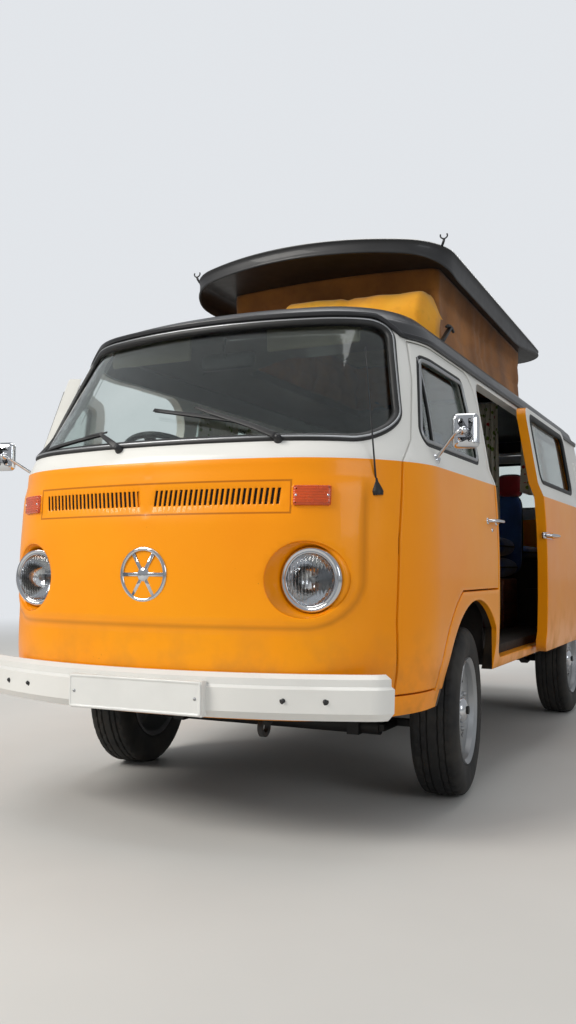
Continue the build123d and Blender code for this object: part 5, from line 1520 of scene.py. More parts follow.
# gutter: a small channel all round, open towards the roof
points, normals = body_frame(stations, gutter_z)
points = np.concatenate([points, points[-2:0:-1] * (-1, 1, 1)])
normals = np.concatenate([normals, normals[-2:0:-1] * (-1, 1, 1)])
normals[:, 2] = 0
normals /= np.linalg.norm(normals, axis=1, keepdims=True)
GUTTER = [
    (-2, -2), (6, -3), (11, -2), (15, 2), (16.5, 8), (16.5, 13), (15, 15), (13.5, 13), (13, 7), (10, 3), (3, 3),
    (0, 12), (-4, 14)
]
rows = np.array([points + normals * out + (0, 0, up) for out, up in GUTTER])
lattice("gutter", rows.transpose(1, 0, 2), "roof", "body", True, True)

# ---------------------------------------------------------------- rising roof


def tilted(points):
    """Places on the lid, drawn level with its rear edge as height 0, as it stands open."""
    x, y, h = np.asarray(points, float).T
    c, s = math.cos(LID_LEAN), math.sin(LID_LEAN)
    y = y - LID_PIVOT[0]
    return np.column_stack([x, LID_PIVOT[0] + y * c - h * s, LID_PIVOT[1] + y * s + h * c])


def lid_arch(plan):
    return 30 * (1 - (plan[:, 0] / 650) ** 2) * (1 - 0.6 * smoothstep((plan[:, 1] - 1300) / 1500))


def skirt_low(plan):
    """Lower edge of the lid's skirt: short at the front, deep at the sides, running out at the rear."""
    front = smoothstep((1560 - plan[:, 1]) / 320)
    rear = smoothstep((plan[:, 1] - 2650) / 800)
    return -62 * (1 - front) * (1 - rear) - 11 * front + 24 * rear


def lid_row(inset, height, back, share=0.0, squeeze=1.0, ahead=0.0):
    """One ring of the lid; share takes part of the skirt's lower edge into the height."""
    front, *rest, rear = LID_PLAN
    plan = plan_loop(front + back, *rest, rear - ahead, inset)
    plan = plan * (squeeze, 1)
    return tilted(np.column_stack([plan, height + lid_arch(plan) + share * skirt_low(plan)]))


rim_rows = [lid_row(118, 21, 300, ahead=182)] + [lid_row(i, h, 0, k) for i, h, k in (
    (70, 22, 0), (20, 20, 0), (11, 8, 0.6), (8, 3, 1), (4, -2, 1), (0, 0, 1), (-1.5, 5, 1),
    (0, 11, 1), (3, 18, 0.8), (3.5, 30, 0.35), (3, 42, 0), (-1, 45, 0), (-1.5, 48, 0), (1, 51, 0), (7, 51, 0),
)]
rim = lattice("roof_rim", rim_rows, "dark_rim", "pop_top", False, True)
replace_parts(rim, "poptop_rim")
shell_rows = [lid_row(i, h, b) for i, h, b in (
    (6, 46, 0), (6, 52, 0), (9, 60, 12), (15, 72, 60), (24, 84, 150), (40, 93, 260), (70, 100, 400), (120, 105, 560),
    (190, 109, 700),
)]
shell_rows += [lid_row(190, 109 + (1 - q) * 3, 700, 0, q) for q in (0.66, 0.33, 0.02)]
shell = lattice("roof_shell", shell_rows, "lid", "pop_top", False, True)
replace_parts(shell, "poptop_shell")
lining_rows = [lid_row(i, h, 300, ahead=182) for i, h in ((119, 20), (121, 40), (130, 50), (150, 54))]
lining_rows += [lid_row(150, 54, 300, 0, q, 182) for q in (0.6, 0.3, 0.02)]
lattice("roof_lining", lining_rows, "lining", "pop_top", False, True)
for i, x in enumerate((-390, -235, -80, 80, 235, 390)):
    line = np.array([(x, y, 0.0) for y in np.linspace(2060, 3330, 14)])
    line[:, 2] = 107 + lid_arch(line) + 3 * (1 - abs(x) / 458)
    sizes = np.concatenate([[0.3, 0.8], np.ones(10), [0.8, 0.3]])
    bar(
        f"roof_rib_{i}", tilted(line), [(-26, -4), (-20, 3), (-8, 7), (8, 7), (20, 3), (26, -4)], "lid", "pop_top",
        scale=sizes
    )

# hooks at the lid's front corners
for side, hand in HANDS:
    root = np.array((side * 622, 1400, 2296.0))
    bar(
        f"roof_hook_{hand}", [root, root + (side * 9, -6, 16), root + (side * 12, -8, 27)], box_section(10, 8),
        "plastic", "pop_top", up=(0, 1, 0)
    )
    fork = [
        root + (side * (12 + dx), -8, 27 + dz)
        for dx, dz in ((-16, 22), (-17, 14), (-11, 5), (0, 1), (10, 5), (15, 13), (13, 22))
    ]
    bar(f"roof_fork_{hand}", curve_through(fork, 4), round_section(3.4, 8), "plastic", "pop_top", up=(0, 1, 0))


def canvas_wave(u, v):
    """How far the canvas stands out from its flat wall: u in millimetres round it, v from 0 low to 1 high."""
    free = 4 * v * (1 - v)
    soft = 5.0 * np.sin(u / 71 + 2.2 * v + 1.3 * np.sin(u / 233)) * free
    fine = 2.6 * np.sin(u / 27 + 3 * np.sin(u / 151) + 5 * v) * free * (0.4 + 0.6 * np.sin(u / 390) ** 2)
    sag = -13 * np.sin(np.pi * v)
    low_fold = -7 * np.exp(-(((v - 0.36 - 0.03 * np.sin(u / 300)) / 0.035) ** 2))
    folds = low_fold - 6 * np.exp(-(((v - 0.7 + 0.02 * np.sin(u / 260)) / 0.03) ** 2))
    return soft + fine + sag + folds * free


half, canvas_front, canvas_rear = CANVAS
corners = rounded(rectangle(-half, half, canvas_front, canvas_rear), 42, 6)
ring = np.array(dense(corners, 17))
step = np.roll(ring, -1, 0) - np.roll(ring, 1, 0)
outwards = np.column_stack([step[:, 1], -step[:, 0]]) / np.linalg.norm(step, axis=1, keepdims=True)
if (outwards * (ring - ring.mean(0))).sum() < 0:
    outwards = -outwards
run = np.concatenate([[0], np.cumsum(np.linalg.norm(np.diff(ring, axis=0), axis=1))])
end_distance = np.minimum(np.abs(ring[:, 1] - canvas_front), np.abs(ring[:, 1] - canvas_rear))
edge_distance = np.minimum(np.abs(np.abs(ring[:, 0]) - half), 900) + end_distance
foot_z = smooth_roof(ring[:, 0], ring[:, 1]) + 4
top_at = np.column_stack([ring, 22 + lid_arch(ring)])
head_z = tilted(top_at)[:, 2]
rows = []
for v in np.linspace(0, 1, 26):
    out = canvas_wave(run, v)
    near_corner = np.exp(-((np.minimum(edge_distance, 400) / 90) ** 2))
    out = out * (1 - 0.75 * near_corner) + 2 * near_corner * np.sin(5 * v * np.pi) * 4 * v * (1 - v)
    if v < 0.04:
        out = out * 0 + 3
    place_xy = ring + outwards * out[:, None]
    rows.append(np.column_stack([place_xy, foot_z + (head_z - foot_z) * v]))
canvas = lattice("canvas_wall", rows, "canvas", None, False, True)


def cloth(piece, thick=1.6):
    """Gives a sheet a thickness, inwards from its surface."""
    solid = piece.modifiers.new("thickness", "SOLIDIFY")
    solid.thickness, solid.offset = thick * MM, -1
    return piece


canvas.parent = None
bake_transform(canvas)
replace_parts(canvas, "canvas")
cloth(canvas)

# bright cloth that billows out in front of the canvas over the roof: the canvas's own cloth in its sunlit colour,
# painted light
fold_rows = []
for i, x in enumerate(np.linspace(-330, 566, 64)):
    left = smoothstep((x + 330) / 190)
    right = smoothstep((578 - x) / 74)
    swell = left * (0.2 + 0.8 * right)
    ridge_z = 1950 + (188 - 0.035 * (x + 120)) * left * (0.3 + 0.7 * right)
    ridge_z += 2.5 * math.sin(x / 70) + 1.2 * math.sin(x / 23 + 1)
    ridge_y = 1592 - 150 * swell + 4 * math.sin(x / 83)
    toe_y = ridge_y - 34 * swell - 4
    base = float(smooth_roof(np.array([x]), np.array([toe_y]))[0]) + 5
    ridge_z = max(ridge_z, base + 12)
    tie = math.exp(-(((x - 150) / 26) ** 2))
    line = curve_through([
        (x, 1588, ridge_z + 26 * swell), (x, 1560, ridge_z + 20 * swell),
        (x, (ridge_y + 1560) / 2, ridge_z + 12 * swell + 4 - 14 * tie),
        (x, ridge_y, ridge_z - 2 - 10 * tie), (x, toe_y - 14 * swell + 16 * tie, ridge_z * 0.62 + base * 0.38),
        (x, toe_y - 16 * swell, ridge_z * 0.3 + base * 0.7), (x, toe_y, base),
    ], 5)
    q = np.linspace(0, 1, len(line))
    line[:, 1] -= (4 * np.sin(x / 29 + 7 * q) + 5 * np.sin((x + 260 * q) / 52)) * np.sin(np.pi * q)
    fold_rows.append(line)
fold = lattice("canvas_fold", fold_rows, "canvas_sunlit_copy", None, False, False)
fold.parent = None
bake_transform(fold)
cloth(fold)

# catches that hold the lid down
for side, hand in HANDS:
    foot, head = np.array((side * 600, 1399, 1843.0)), np.array((side * 600, 1588, 1975.0))
    bar(
        f"catch_post_{hand}", [foot, foot * 0.5 + head * 0.5, head], box_section(22, 13), "plastic", "body",
        up=(0, -1, 1)
    )
    catch = bar(
        f"catch_bar_{hand}",
        [head + (0, -56, -6), head + (0, -30, 4), head + (0, 0, 6), head + (0, 30, 4), head + (0, 56, -6)],
        round_section(8), "plastic", "body", scale=(0.8, 1, 1.1, 1, 0.8)
    )
    revolved(
        f"catch_foot_{hand}", [(0.5, 16), (16, 14), (24, 8), (26, -8)], foot, (0, -0.5, 0.85), "plastic", "body", 24
    )
    if side > 0:
        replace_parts(catch, "roof_catches")

# ---------------------------------------------------------------- tail


def grown(outline, grow=0):
    """A tail opening's outline in the rear view, larger by grow all round."""
    bottom, top, low, high = outline
    corners = [
        (-low - grow, bottom - grow), (low + grow, bottom - grow), (high + grow, top + grow),
        (-high - grow, top + grow)
    ]
    return rounded(corners, TAIL_CORNER + grow, 10)


def rear_half(points):
    """The left half of an even rear-view outline, from its lowest middle point to its highest, unrolled."""
    ring = dense(points, 14)
    x, z = np.asarray(ring, float).T
    keep = [(a, b) for a, b in zip(x, z) if a > 1.0]
    middle = (z.max() + z.min()) / 2
    keep.sort(key=lambda p: math.atan2(p[1] - middle, p[0]))
    half_line = from_rear([(0.0, z.min())] + keep + [(0.0, z.max())])
    half_line[[0, -1], 0] = S_END
    return half_line


def down_middle(start, end, count):
    """Places on the rear's mid-plane between two heights, without both ends."""
    return [(S_END, z) for z in np.linspace(start, end, count)[1:-1]]


def tail_skin():
    """The tail round the openings of the tailgate and the engine lid."""
    gate, lid = rear_half(grown(TAILGATE, PANEL_GAP)), rear_half(grown(ENGINE_LID, PANEL_GAP))
    low, high = TAIL_FOOT_Z, GUTTER_Z - 1
    heights = np.arange(low, high + 1, 14.0)
    start = [(float(solve(z, TAIL_Y + 4, 1, S_SIDE, S_END - 400)), float(z)) for z in heights]
    outline = start + [(s, high) for s in np.linspace(start[-1][0], S_END, 60)[1:]]
    outline += down_middle(high, gate[-1][1], 4) + [tuple(p) for p in gate[::-1]]
    outline += down_middle(gate[0][1], lid[-1][1], 6) + [tuple(p) for p in lid[::-1]]
    outline += down_middle(lid[0][1], low, 14) + [(s, low) for s in np.linspace(S_END, start[0][0], 60)[:-1]]
    skin("tail_skin", np.array(outline), [], "paint", LEFT, both=True)


tail_skin()


def whole_rear(points):
    """An even rear-view outline that closes across the middle, as its left half."""
    half_line = rear_half(points)
    top, bottom = half_line[-1][1], half_line[0][1]
    middle = down_middle(top, bottom, max(4, int((top - bottom) / 20)))
    return np.array([tuple(p) for p in half_line] + middle)


pane_outline = grown(TAILGATE_WINDOW)
gate_loop, pane_loop = rear_half(grown(TAILGATE)), rear_half(pane_outline)
gate_outline = np.array([
    *(tuple(p) for p in gate_loop),
    *down_middle(gate_loop[-1][1], pane_loop[-1][1], 5),
    *(tuple(p) for p in pane_loop[::-1]),
    *down_middle(pane_loop[0][1], gate_loop[0][1], 18),
])


def gate_relief(points):
    """Two pressed creases under the tailgate's window."""
    z, x = points[:, 2], np.abs(points[:, 0])
    crease = np.exp(-(((z - 1272) / 7) ** 2)) + np.exp(-(((z - 1245) / 5) ** 2))
    return 3.0 * crease * smoothstep((560 - x) / 60)


skin("tailgate_skin", gate_outline, [], "paint", GATE, both=True, relief=gate_relief)


def lid_relief(points):
    """The engine lid's raised field."""
    x, z = np.abs(points[:, 0]), points[:, 2]
    bottom, top, half, _ = ENGINE_LID
    inward = np.minimum(np.minimum(half - 52 - x, z - bottom - 48), top - 42 - z)
    return 5.0 * smoothstep((inward + 8) / 16)


skin("engine_lid_skin", whole_rear(grown(ENGINE_LID)), [], "paint", LID, both=True, relief=lid_relief)

# rubber round the rear pane, closed over the middle
NEAR_MIDDLE = S_END - 2.5
pane_points, pane_normals = even_frame(dense(pane_outline, 16), S_REAR, S_END, NEAR_MIDDLE)
sweep("tailgate_rubber", pane_points, pane_normals, [(-u, v) for u, v in SEAL], "rubber", "tailgate")

LAMP_PARTS = ((58, 130, "amber", "top"), (-48, 56, "red", "middle"), (-130, -50, "clear", "bottom"))
for side, hand, carrier in ((1, "left", LEFT), (-1, "right", RIGHT)):
    x, z = TAIL_LAMP
    loop = from_rear(dense(rounded(rectangle(x - 42, x + 36, z - 132, z + 132), 26, 6), 9))
    boss(f"tail_lamp_base_{hand}", loop, [(-5, 1), (-5, 8), (-2, 11), (3, 12)], "rubber", carrier)
    parts = []
    for low, high, finish, label in LAMP_PARTS:
        corner = 9 if label == "middle" else 14
        loop = from_rear(dense(rounded(rectangle(x - 39, x + 33, z + low, z + high), corner, 4), 8))
        rows = [(1, 9), (1, 17), (3, 23), (8, 26), (15, 27)]
        parts.append(boss(f"tail_lamp_{label}_{hand}", loop, rows, finish, carrier))
    if side > 0:
        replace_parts(parts[1], "tail_lamps")
    for dz in (-118, 44, 118):
        spot, normal = skin_spot(from_rear, x - 3, z + dz, 27.5)
        revolved(
            f"tail_lamp_screw_{hand}_{dz + 200}", SCREW, carrier.spot(spot), -carrier.heading(normal), "chrome",
            "body", 14
        )

# handles and locks of the tailgate and the engine lid
for name, body, z, half in (("tailgate_handle", "tailgate", 1150, 62), ("engine_lid_handle", "engine_lid", 890, 40)):
    point, normal = body_frame(np.array([NEAR_MIDDLE]), np.array([float(z)]))
    point, normal = point[0] * (0, 1, 1), np.array([0, normal[0][1], normal[0][2]])
    near = [(-half, 2), (-half + 6, 15), (-half + 22, 23)]
    grip = [
        point + np.array((dx, 0, 0)) + normal * h
        for dx, h in near + [(0, 26)] + [(-d, h) for d, h in near[::-1]]
    ]
    bar(name, curve_through(grip, 5), box_section(16, 8, 0.45), "chrome", body)
    revolved(
        name + "_lock", [(0.5, 15), (8, 14), (13, 9), (15, 1)], point + np.array((0, 0, -34.0)), normal, "chrome",
        body, 28
    )

# number plate lamp over the engine lid
point, normal = body_frame(np.array([NEAR_MIDDLE]), np.array([962.0]))
lamp_at = point[0] * (0, 1, 1)
bar(
    "plate_lamp", [lamp_at + (dx, 6, 0) for dx in (-48, -40, 0, 40, 48)], box_section(34, 24, 0.5), "rubber", "body",
    scale=(0.7, 1, 1, 1, 0.7)
)

# ---------------------------------------------------------------- louvres and filler flap

for carrier, hand in ((LEFT, "left"), (RIGHT, "right")):
    for j in range(9):
        y = 3840 + j * 26
        points, normals = body_frame(*from_side([(y + dz * 0.05, 1480 + dz) for dz in np.linspace(-95, 95, 9)]).T)
        section = [(-9, -5), (9, -3), (9, 1), (3, 8), (-3, 7), (-9, -1)]
        up = carrier.directions(normals)[4]
        bar(f"louvre_{hand}_{j}", carrier.points(points + normals * 4), section, "white", "body", up=up)
flap = from_side(dense(rounded(rectangle(3700, 3830, 1010, 1130), 22, 5), 12))
boss("filler_flap", flap, [(0, 0.5), (0, 4), (1.2, 5.4), (4, 5.8)], "paint", RIGHT)

# ---------------------------------------------------------------- bumper's bolts and plate

plate = []
for inset, depth in ((0, -4), (0, -6.5), (1.5, -7.5), (6, -7.8), (7, -6.6), (12, -6.6)):
    ring = rounded(rectangle(-258, 258, 414, 522, -inset), max(12 - inset, 2), 4)
    plate.append([(x, depth, z) for x, z in ring])
lattice("number_plate", plate, "plate", "body", False, True, caps=True)
BOLT = [(0.5, 6.5), (3.85, 6), (7, 2.5), (7.35, -1), (11.2, -1.2), (11.9, -3)]
for side, hand in reversed(HANDS):
    for i, (x, y) in enumerate(((506, 72), (630, 112.6))):
        revolved(f"bumper_bolt_{hand}_{i}", BOLT, (side * x, y, 470), (side * 0.31, -0.95, 0), "dark_rim", "body", 20)
for x in (-236, 236):
    revolved(
        f"plate_screw_{'left' if x > 0 else 'right'}", [(0.5, -3.2), (4, -2.6), (6, 0.5)], (x, -6.6, 468), (0, 1, 0),
        "silver", "body", 16
    )

# ---------------------------------------------------------------- door windows: vent bars

for carrier, hand in ((DOOR_LEFT, "left"), (DOOR_RIGHT, "right")):
    line = from_side([(693 - 35 * t, 1643 - 330 * t) for t in np.linspace(0, 1, 12)])
    points, normals = body_frame(*line.T)
    up = carrier.directions(normals)[5]
    bar(
        f"vent_bar_{hand}", carrier.points(points - normals * 3), box_section(15, 12, 0.3), "rubber", carrier.body,
        up=up
    )
    bar(
        f"vent_trim_{hand}", carrier.points(points + normals * 3.6), box_section(5, 3, 0.4), "silver", carrier.body,
        up=up
    )

# ---------------------------------------------------------------- sliding door's handle and rail

x, y, z = 932, 2190, 1040
grip = [
    (x - 14, y - 84, z), (x + 4, y - 80, z), (x + 16, y - 62, z), (x + 20, y, z), (x + 16, y + 62, z),
    (x + 4, y + 80, z), (x - 14, y + 84, z)
]
bar("slide_handle", curve_through(grip, 5), box_section(30, 14, 0.45), "chrome", "body")
cover = rounded(rectangle(-86, 86, -17, 17), 14, 5)
rows = [[(x - d, y + a * k, z + b * k) for a, b in cover] for d, k in ((30, 1.06), (22, 1.04), (14, 0.98), (11, 0.9))]
lattice("slide_handle_plate", rows, "chrome", "body", False, True, caps=True)

rail = []
for y in np.linspace(2560, 4080, 60):
    rail.append(skin_spot(from_side, y, 1262, 1.5)[0])
bar("slide_rail", np.array(rail), box_section(10, 26, 0.3), "dark_rim", "body")

# ---------------------------------------------------------------- inside


def swell(t, power):
    return np.sign(t) * np.abs(t) ** power


def pad(name, low, high, material="seat", lean=0.0, flatness=0.42, corner=0.26):
    """A cushion between two corners, leaned about its lower middle, with piping round its widest line."""
    low, high = np.asarray(low, float), np.asarray(high, float)
    centre, size = (low + high) / 2, (high - low) / 2
    thin = int(np.argmin(size))
    others = [k for k in range(3) if k != thin]
    u = np.linspace(0, 2 * np.pi, 72, endpoint=False)
    u = u - 0.12 * np.sin(4 * u)
    reach = np.array([0.04, 0.25, 0.5, 0.7, 0.82, 0.9, 0.95, 0.98, 0.995])
    reach = np.concatenate([reach, [1.0], reach[::-1]])
    thickness = (1 - reach ** (2 / flatness)) ** 0.4 * np.concatenate([-np.ones(9), [0], np.ones(9)])
    rows = np.zeros((19, 72, 3))
    rows[..., others[0]] = size[others[0]] * reach[:, None] * swell(np.cos(u), corner)[None, :]
    rows[..., others[1]] = size[others[1]] * reach[:, None] * swell(np.sin(u), corner)[None, :]
    rows[..., thin] = size[thin] * thickness[:, None] * np.ones(72)
    spread = rows / size
    rows[..., thin] *= 1 - 0.16 * (spread[..., others[0]] ** 4 + spread[..., others[1]] ** 4) / 2
    wave = np.sin(rows[..., others[0]] / 37 + rows[..., others[1]] / 53) * np.sin(rows[..., others[1]] / 41)
    rows[..., thin] += 2.5 * wave * np.sign(rows[..., thin])
    edge = rows[9]
    outwards = edge.copy()
    outwards[:, thin] = 0
    outwards /= np.linalg.norm(outwards, axis=1, keepdims=True)
    across = np.zeros(3)
    across[thin] = 1
    turns = np.arange(8) * math.pi / 4
    tube = np.array([edge + outwards * (2 + 4.5 * math.cos(a)) + across * 4.5 * math.sin(a) for a in turns])

    def turned(points):
        points = points + centre
        about = np.array([centre[0], low[1], low[2]])
        c, s = math.cos(math.radians(lean)), math.sin(math.radians(lean))
        q = points - about
        return about + np.stack([q[..., 0], q[..., 1] * c + q[..., 2] * s, -q[..., 1] * s + q[..., 2] * c], -1)

    body = lattice(name, turned(rows), material, "body", False, True, caps=True)
    piping = lattice(name + "_piping", turned(tube.transpose(1, 0, 2)), "piping", "body", True, True)
    made = joined(name, [body, piping])
    return made


def board(name, low, high, material, bevel=4.0):
    """A panel with softened edges."""
    low, high = np.asarray(low, float), np.asarray(high, float)
    size = high - low
    thin = int(np.argmin(size))
    a, b = [k for k in range(3) if k != thin]
    ring = rounded(rectangle(low[a], high[a], low[b], high[b]), min(10.0, size[a] / 3, size[b] / 3), 4)
    layers = []
    cut = min(bevel, size[thin] / 2.2)
    for t, inset in ((0, cut), (cut / size[thin], 0), (1 - cut / size[thin], 0), (1, cut)):
        loop = shrunk(np.array(ring), inset) if inset else np.array(ring)
        row = np.zeros((len(loop), 3))
        row[:, a], row[:, b], row[:, thin] = loop[:, 0], loop[:, 1], low[thin] + size[thin] * t
        layers.append(row)
    made = lattice(name, layers, material, "body", False, True, caps=True)
    creased(made, 50)


seat_pads = []
for side, hand in HANDS:
    x = side * 400
    seat_pads.append(pad(f"seat_cushion_{hand}", (x - 245, 872, 802), (x + 245, 1318, 962), lean=-1))
    pad(f"seat_back_{hand}", (x - 236, 1255, 930), (x + 236, 1352, 1492), lean=9)
    for dx, end in ((-170, "in"), (170, "out")):
        line = [(x + dx, y, 806) for y in np.linspace(890, 1300, 6)]
        bar(f"seat_runner_{hand}_{end}", line, box_section(26, 10), "chassis", "body")
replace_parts(seat_pads[0], "seats")
for x0, x1, hand in ((-398, 78, "right"), (82, 558, "left")):
    pad(f"bench_cushion_{hand}", (x0, 2728, 822), (x1, 3165, 950))
    pad(f"bench_back_{hand}", (x0, 3172, 845), (x1, 3300, 1332), lean=2)
    pad(f"bed_cushion_{hand}", (x0, 3350, 932), (x1, 4290, 1030))
board("bench_base", (-400, 2742, 541), (560, 3088, 820), "wood", bevel=6)
board("bench_panel_right", (-385, 2730, 560), (70, 2742, 806), "wood")
board("bench_panel_left", (90, 2730, 560), (545, 2742, 806), "wood")
pad("loose_cushion", (300, 2745, 950), (556, 3080, 1062))
pad(
    "red_pillow", (415, 3188, 1318), (562, 3296, 1452), material="red_cloth", flatness=0.6,
    corner=0.5
)

# cabinets: doors, worktop and knobs
KNOB = [(0.5, 26), (9, 24), (12, 18), (8, 8), (9, 0)]
for i, (front, rear) in enumerate(((1570, 1935), (1945, 2310), (2320, 2690))):
    board(f"cabinet_door_{i}", (-419, front, 560), (-407, rear, 1150), "wood")
    revolved(f"cabinet_knob_{i}", KNOB, (-408, rear - 40, 1080), (1, 0, 0), "chrome", "body", 24)
board("worktop", (-742, 1552, 1180), (-402, 2708, 1200), "worktop")
board("rear_cabinet_door", (-419, 3410, 950), (-407, 3950, 1540), "wood")
revolved("rear_cabinet_knob", KNOB, (-408, 3450, 1240), (1, 0, 0), "chrome", "body", 24)

# dashboard: padded top, instruments in front of the right-hand driver, glove box and grab rail
dash_rows = []
for x in np.linspace(-700, 700, 57):
    edge = 1 - (abs(x) / 716) ** 10
    front = screen_place(x, 1300, 0)[0][1] + 30
    hump = math.exp(-(((x + 370) / 150) ** 4)) * 26
    row = []
    for y, h in ((180, 6), (260, 14), (360, 17), (470, 17), (560, 14), (592, 4), (604, -12), (606, -40), (600, -70)):
        rise = h + (hump if 300 < y < 560 else 0)
        row.append((x, front + (y - 180) * (606 - front) / 426, 1250 + rise * edge))
    dash_rows.append(row)
lattice("dash_top", dash_rows, "plastic", "body")
for x, radius in ((-470, 44), (-370, 52), (-270, 44)):
    rim = [(0.5, -4), (radius - 8, -4), (radius - 5, -9), (radius, -11), (radius + 5, -7), (radius + 6, 2)]
    revolved(f"dial_{-x}", rim, (x, 607, 1180), (0, -1, 0), "plastic", "body", 40)
    revolved(
        f"dial_face_{-x}", [(0.5, 0), (radius - 7, 0), (radius - 6, 3)], (x, 612, 1180), (0, -1, 0), "silver",
        "body", 40
    )
board("glove_box", (180, 600, 1040), (560, 612, 1190), "plastic", bevel=5)
rail = [(200, 604, 1214), (210, 640, 1216), (300, 650, 1216), (440, 650, 1216), (530, 640, 1216), (540, 604, 1214)]
bar("grab_rail", curve_through(rail, 6), round_section(9), "plastic", "body")
# the radio slot as a black bar: painted shade for its opening
bar("radio_slot", [(x, 604, 1110) for x in (-80, -40, 0, 40, 80)], box_section(12, 50), "dark", "body")
bar(
    "gear_lever", curve_through([(-60, 900, 545), (-60, 880, 760), (-66, 846, 960), (-70, 830, 1010)], 5),
    round_section(7), "plastic", "body", up=(0, 1, 0)
)
revolved(
    "gear_knob", [(0.5, 22), (12, 20), (20, 10), (21, 0), (14, -14), (6, -20)], (-70, 828, 1016), (0, -0.2, 1),
    "plastic", "body", 28
)

# rear-view mirror and sun visors
frame_loop = rounded(rectangle(-118, 118, -32, 32), 20, 5)
depths = ((600, 0.8), (606, 0.95), (616, 1), (628, 1), (632, 0.96))
shell_rows = [[(-10 + a * k, y, 1683 + b * k) for a, b in frame_loop] for y, k in depths]
lattice("inner_mirror", shell_rows, "plastic", "body", False, True, caps=True)
bar(
    "inner_mirror_stem", curve_through([(-10, 606, 1690), (-10, 590, 1726), (-10, 600, 1768)], 4),
    round_section(6, 8), "plastic", "body"
)
for side, hand in HANDS:
    board(f"visor_{hand}", (side * 360 - 190, 600, 1700), (side * 360 + 190, 612, 1796), "lining", bevel=5)


def curtain(name, start, end, pleats, top=1672, bottom=1296, depth=20):
    """A pleated curtain on a straight rail between two places, gathered into even folds that open downwards."""
    start, end = np.asarray(start, float), np.asarray(end, float)
    run = np.linalg.norm(end - start)
    across = np.array([-(end - start)[1], (end - start)[0]]) / run
    count = pleats * 10
    rows = []
    for t in np.linspace(0, 1, count + 1):
        phase = 2 * math.pi * pleats * t
        row = []
        for q in np.linspace(0, 1, 18):
            sway = (0.55 + 0.45 * q) * (1 + 0.25 * math.sin(3.1 * t * pleats + 1.3 * q))
            off = depth * sway * math.sin(phase + 0.7 * math.sin(2.3 * q + 5 * t))
            slide = 3 * math.sin(phase * 2 + 2 * q)
            spot = start + (end - start) * t + across * off + (end - start) / run * slide
            row.append((spot[0], spot[1], top + (bottom - top) * q + (4 * math.sin(phase * 0.5) if q == 1 else 0)))
        rows.append(row)
    made = lattice(name, rows, "print", "body")
    cloth(made, thick=1.2)
    line = [(*start, top + 4), (*((start + end) / 2), top + 4), (*end, top + 4)]
    bar(name + "_rail", line, round_section(5, 8), "silver", "body")


curtain("curtain_middle_front", (-706, 1548), (-706, 1930), 9)
curtain("curtain_middle_rear", (-706, 2050), (-706, 2436), 9)
for side, hand in HANDS:
    curtain(f"curtain_rear_{hand}_front", (side * 706, 2630), (side * 706, 2830), 6)
    curtain(f"curtain_rear_{hand}_rear", (side * 706, 3440), (side * 706, 3640), 6)
curtain("curtain_room", (348, 2706), (548, 2706), 7, 1812, 1130, depth=26)

# painted shade: black sheets just under the nose's skin, seen through the air slots in place of the shade behind them
for j, (first, last) in enumerate(((-470, -40), (20, 480))):
    rows = []
    for x in np.linspace(first, last, 40):
        row = []
        for z in np.linspace(SLOT_Z - 34, SLOT_Z + 34, 6):
            row.append(screen_place(x, z, 0.9)[0])
        rows.append(row)
    lattice(f"slot_shade_{j}", rows, "dark", "body")

# ---------------------------------------------------------------- camera, light and floor


def build_camera():
    data = bpy.data.cameras.new("camera")
    data.lens = CAMERA_LENS
    data.sensor_width = 36
    made = bpy.data.objects.new("camera", data)
    bpy.context.scene.collection.objects.link(made)
    yaw, pitch, roll = (math.radians(a) for a in (CAMERA_YAW, CAMERA_PITCH, CAMERA_ROLL))
    forward = Vector((-math.sin(yaw) * math.cos(pitch), math.cos(yaw) * math.cos(pitch), math.sin(pitch)))
    right = Vector((math.cos(yaw), math.sin(yaw), 0))
    up = right.cross(forward)
    turned = Matrix.Rotation(roll, 3, forward)
    right, up = turned @ right, turned @ up
    made.matrix_world = Matrix((right, up, -forward)).transposed().to_4x4()
    made.location = place(*CAMERA_PLACE)
    data.clip_end = 200
    bpy.context.scene.camera = made


def soft_light(name, where, target, size, power, colour=(1, 1, 1)):
    data = bpy.data.lights.new(name, "AREA")
    data.shape = "RECTANGLE"
    data.size, data.size_y = size
    data.energy = power
    data.color = colour
    made = bpy.data.objects.new(name, data)
    bpy.context.scene.collection.objects.link(made)
    made.location = where
    made.rotation_euler = (Vector(target) - Vector(where)).to_track_quat("-Z", "Y").to_euler()


# Colour of the backdrop, and its strength as it is seen and as it lights the van
BACKDROP = (0.93, 0.96, 1.0)
BACKDROP_SEEN, BACKDROP_LIGHT = 0.82, 0.42


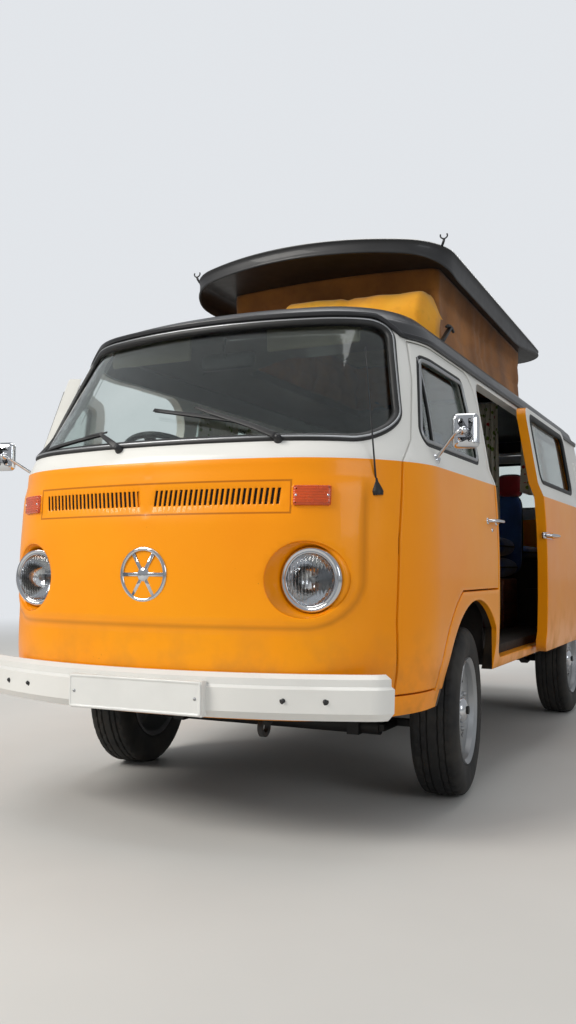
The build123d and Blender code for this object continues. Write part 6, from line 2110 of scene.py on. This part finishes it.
def build_stage():
    floor = bpy.data.meshes.new("floor_plane")
    floor.from_pydata([(-60, -60, 0), (60, -60, 0), (60, 60, 0), (-60, 60, 0)], [], [(0, 1, 2, 3)])
    made = bpy.data.objects.new("stage_floor", floor)
    bpy.context.scene.collection.objects.link(made)
    shader = Shader("stage_floor", 0.9, specular=0.1)
    shader.base(shader.mix(shader.ramp(shader.noise(0.6, 4), 0.3, 0.7), srgb(196, 195, 191), srgb(206, 205, 201)))
    # far from the van the floor fades into the backdrop's colour for the camera
    away = shader.node("ShaderNodeVectorMath")
    away.operation = "LENGTH"
    shader.link(shader.node("ShaderNodeNewGeometry").outputs["Position"], away.inputs[0])
    reach = shader.node("ShaderNodeMapRange")
    reach.interpolation_type = "SMOOTHSTEP"
    shader.link(away.outputs["Value"], reach.inputs[0])
    reach.inputs[1].default_value, reach.inputs[2].default_value = 5.0, 13.0
    seen = shader.node("ShaderNodeLightPath").outputs["Is Camera Ray"]
    glow = shader.node("ShaderNodeEmission")
    glow.inputs["Color"].default_value = tuple(c * BACKDROP_SEEN for c in BACKDROP) + (1,)
    blend = shader.node("ShaderNodeMixShader")
    shader.link(shader.times(reach.outputs[0], seen), blend.inputs[0])
    shader.link(shader.principled.outputs[0], blend.inputs[1])
    shader.link(glow.outputs[0], blend.inputs[2])
    output = next(n for n in shader.material.node_tree.nodes if n.type == "OUTPUT_MATERIAL")
    shader.link(blend.outputs[0], output.inputs["Surface"])
    floor.materials.append(shader.material)
    world = bpy.data.worlds.new("studio")
    world.use_nodes = True
    bpy.context.scene.world = world
    tree = world.node_tree
    background = tree.nodes["Background"]
    path = tree.nodes.new("ShaderNodeLightPath")
    seen = tree.nodes.new("ShaderNodeMath")
    seen.operation = "MAXIMUM"
    tree.links.new(path.outputs["Is Camera Ray"], seen.inputs[0])
    tree.links.new(path.outputs["Is Transmission Ray"], seen.inputs[1])
    strength = tree.nodes.new("ShaderNodeMapRange")
    tree.links.new(seen.outputs[0], strength.inputs[0])
    strength.inputs[3].default_value, strength.inputs[4].default_value = BACKDROP_LIGHT, BACKDROP_SEEN
    tree.links.new(strength.outputs[0], background.inputs["Strength"])
    background.inputs["Color"].default_value = (*BACKDROP, 1)
    bpy.context.scene.view_settings.view_transform = "Standard"


build_camera()
build_stage()
soft_light("key", (-4.5, -7.5, 6.5), (0, -1.5, 1), (4, 4), 640, (1, 0.97, 0.92))
soft_light("fill", (7.5, -5, 3.5), (0, -0.5, 1), (4, 3), 110, (0.93, 0.96, 1))
soft_light("top", (0, 0.5, 7.5), (0, 0, 1), (5, 6), 190)
soft_light("back", (-3, 8, 4.5), (0, 1, 1), (4, 3), 220)
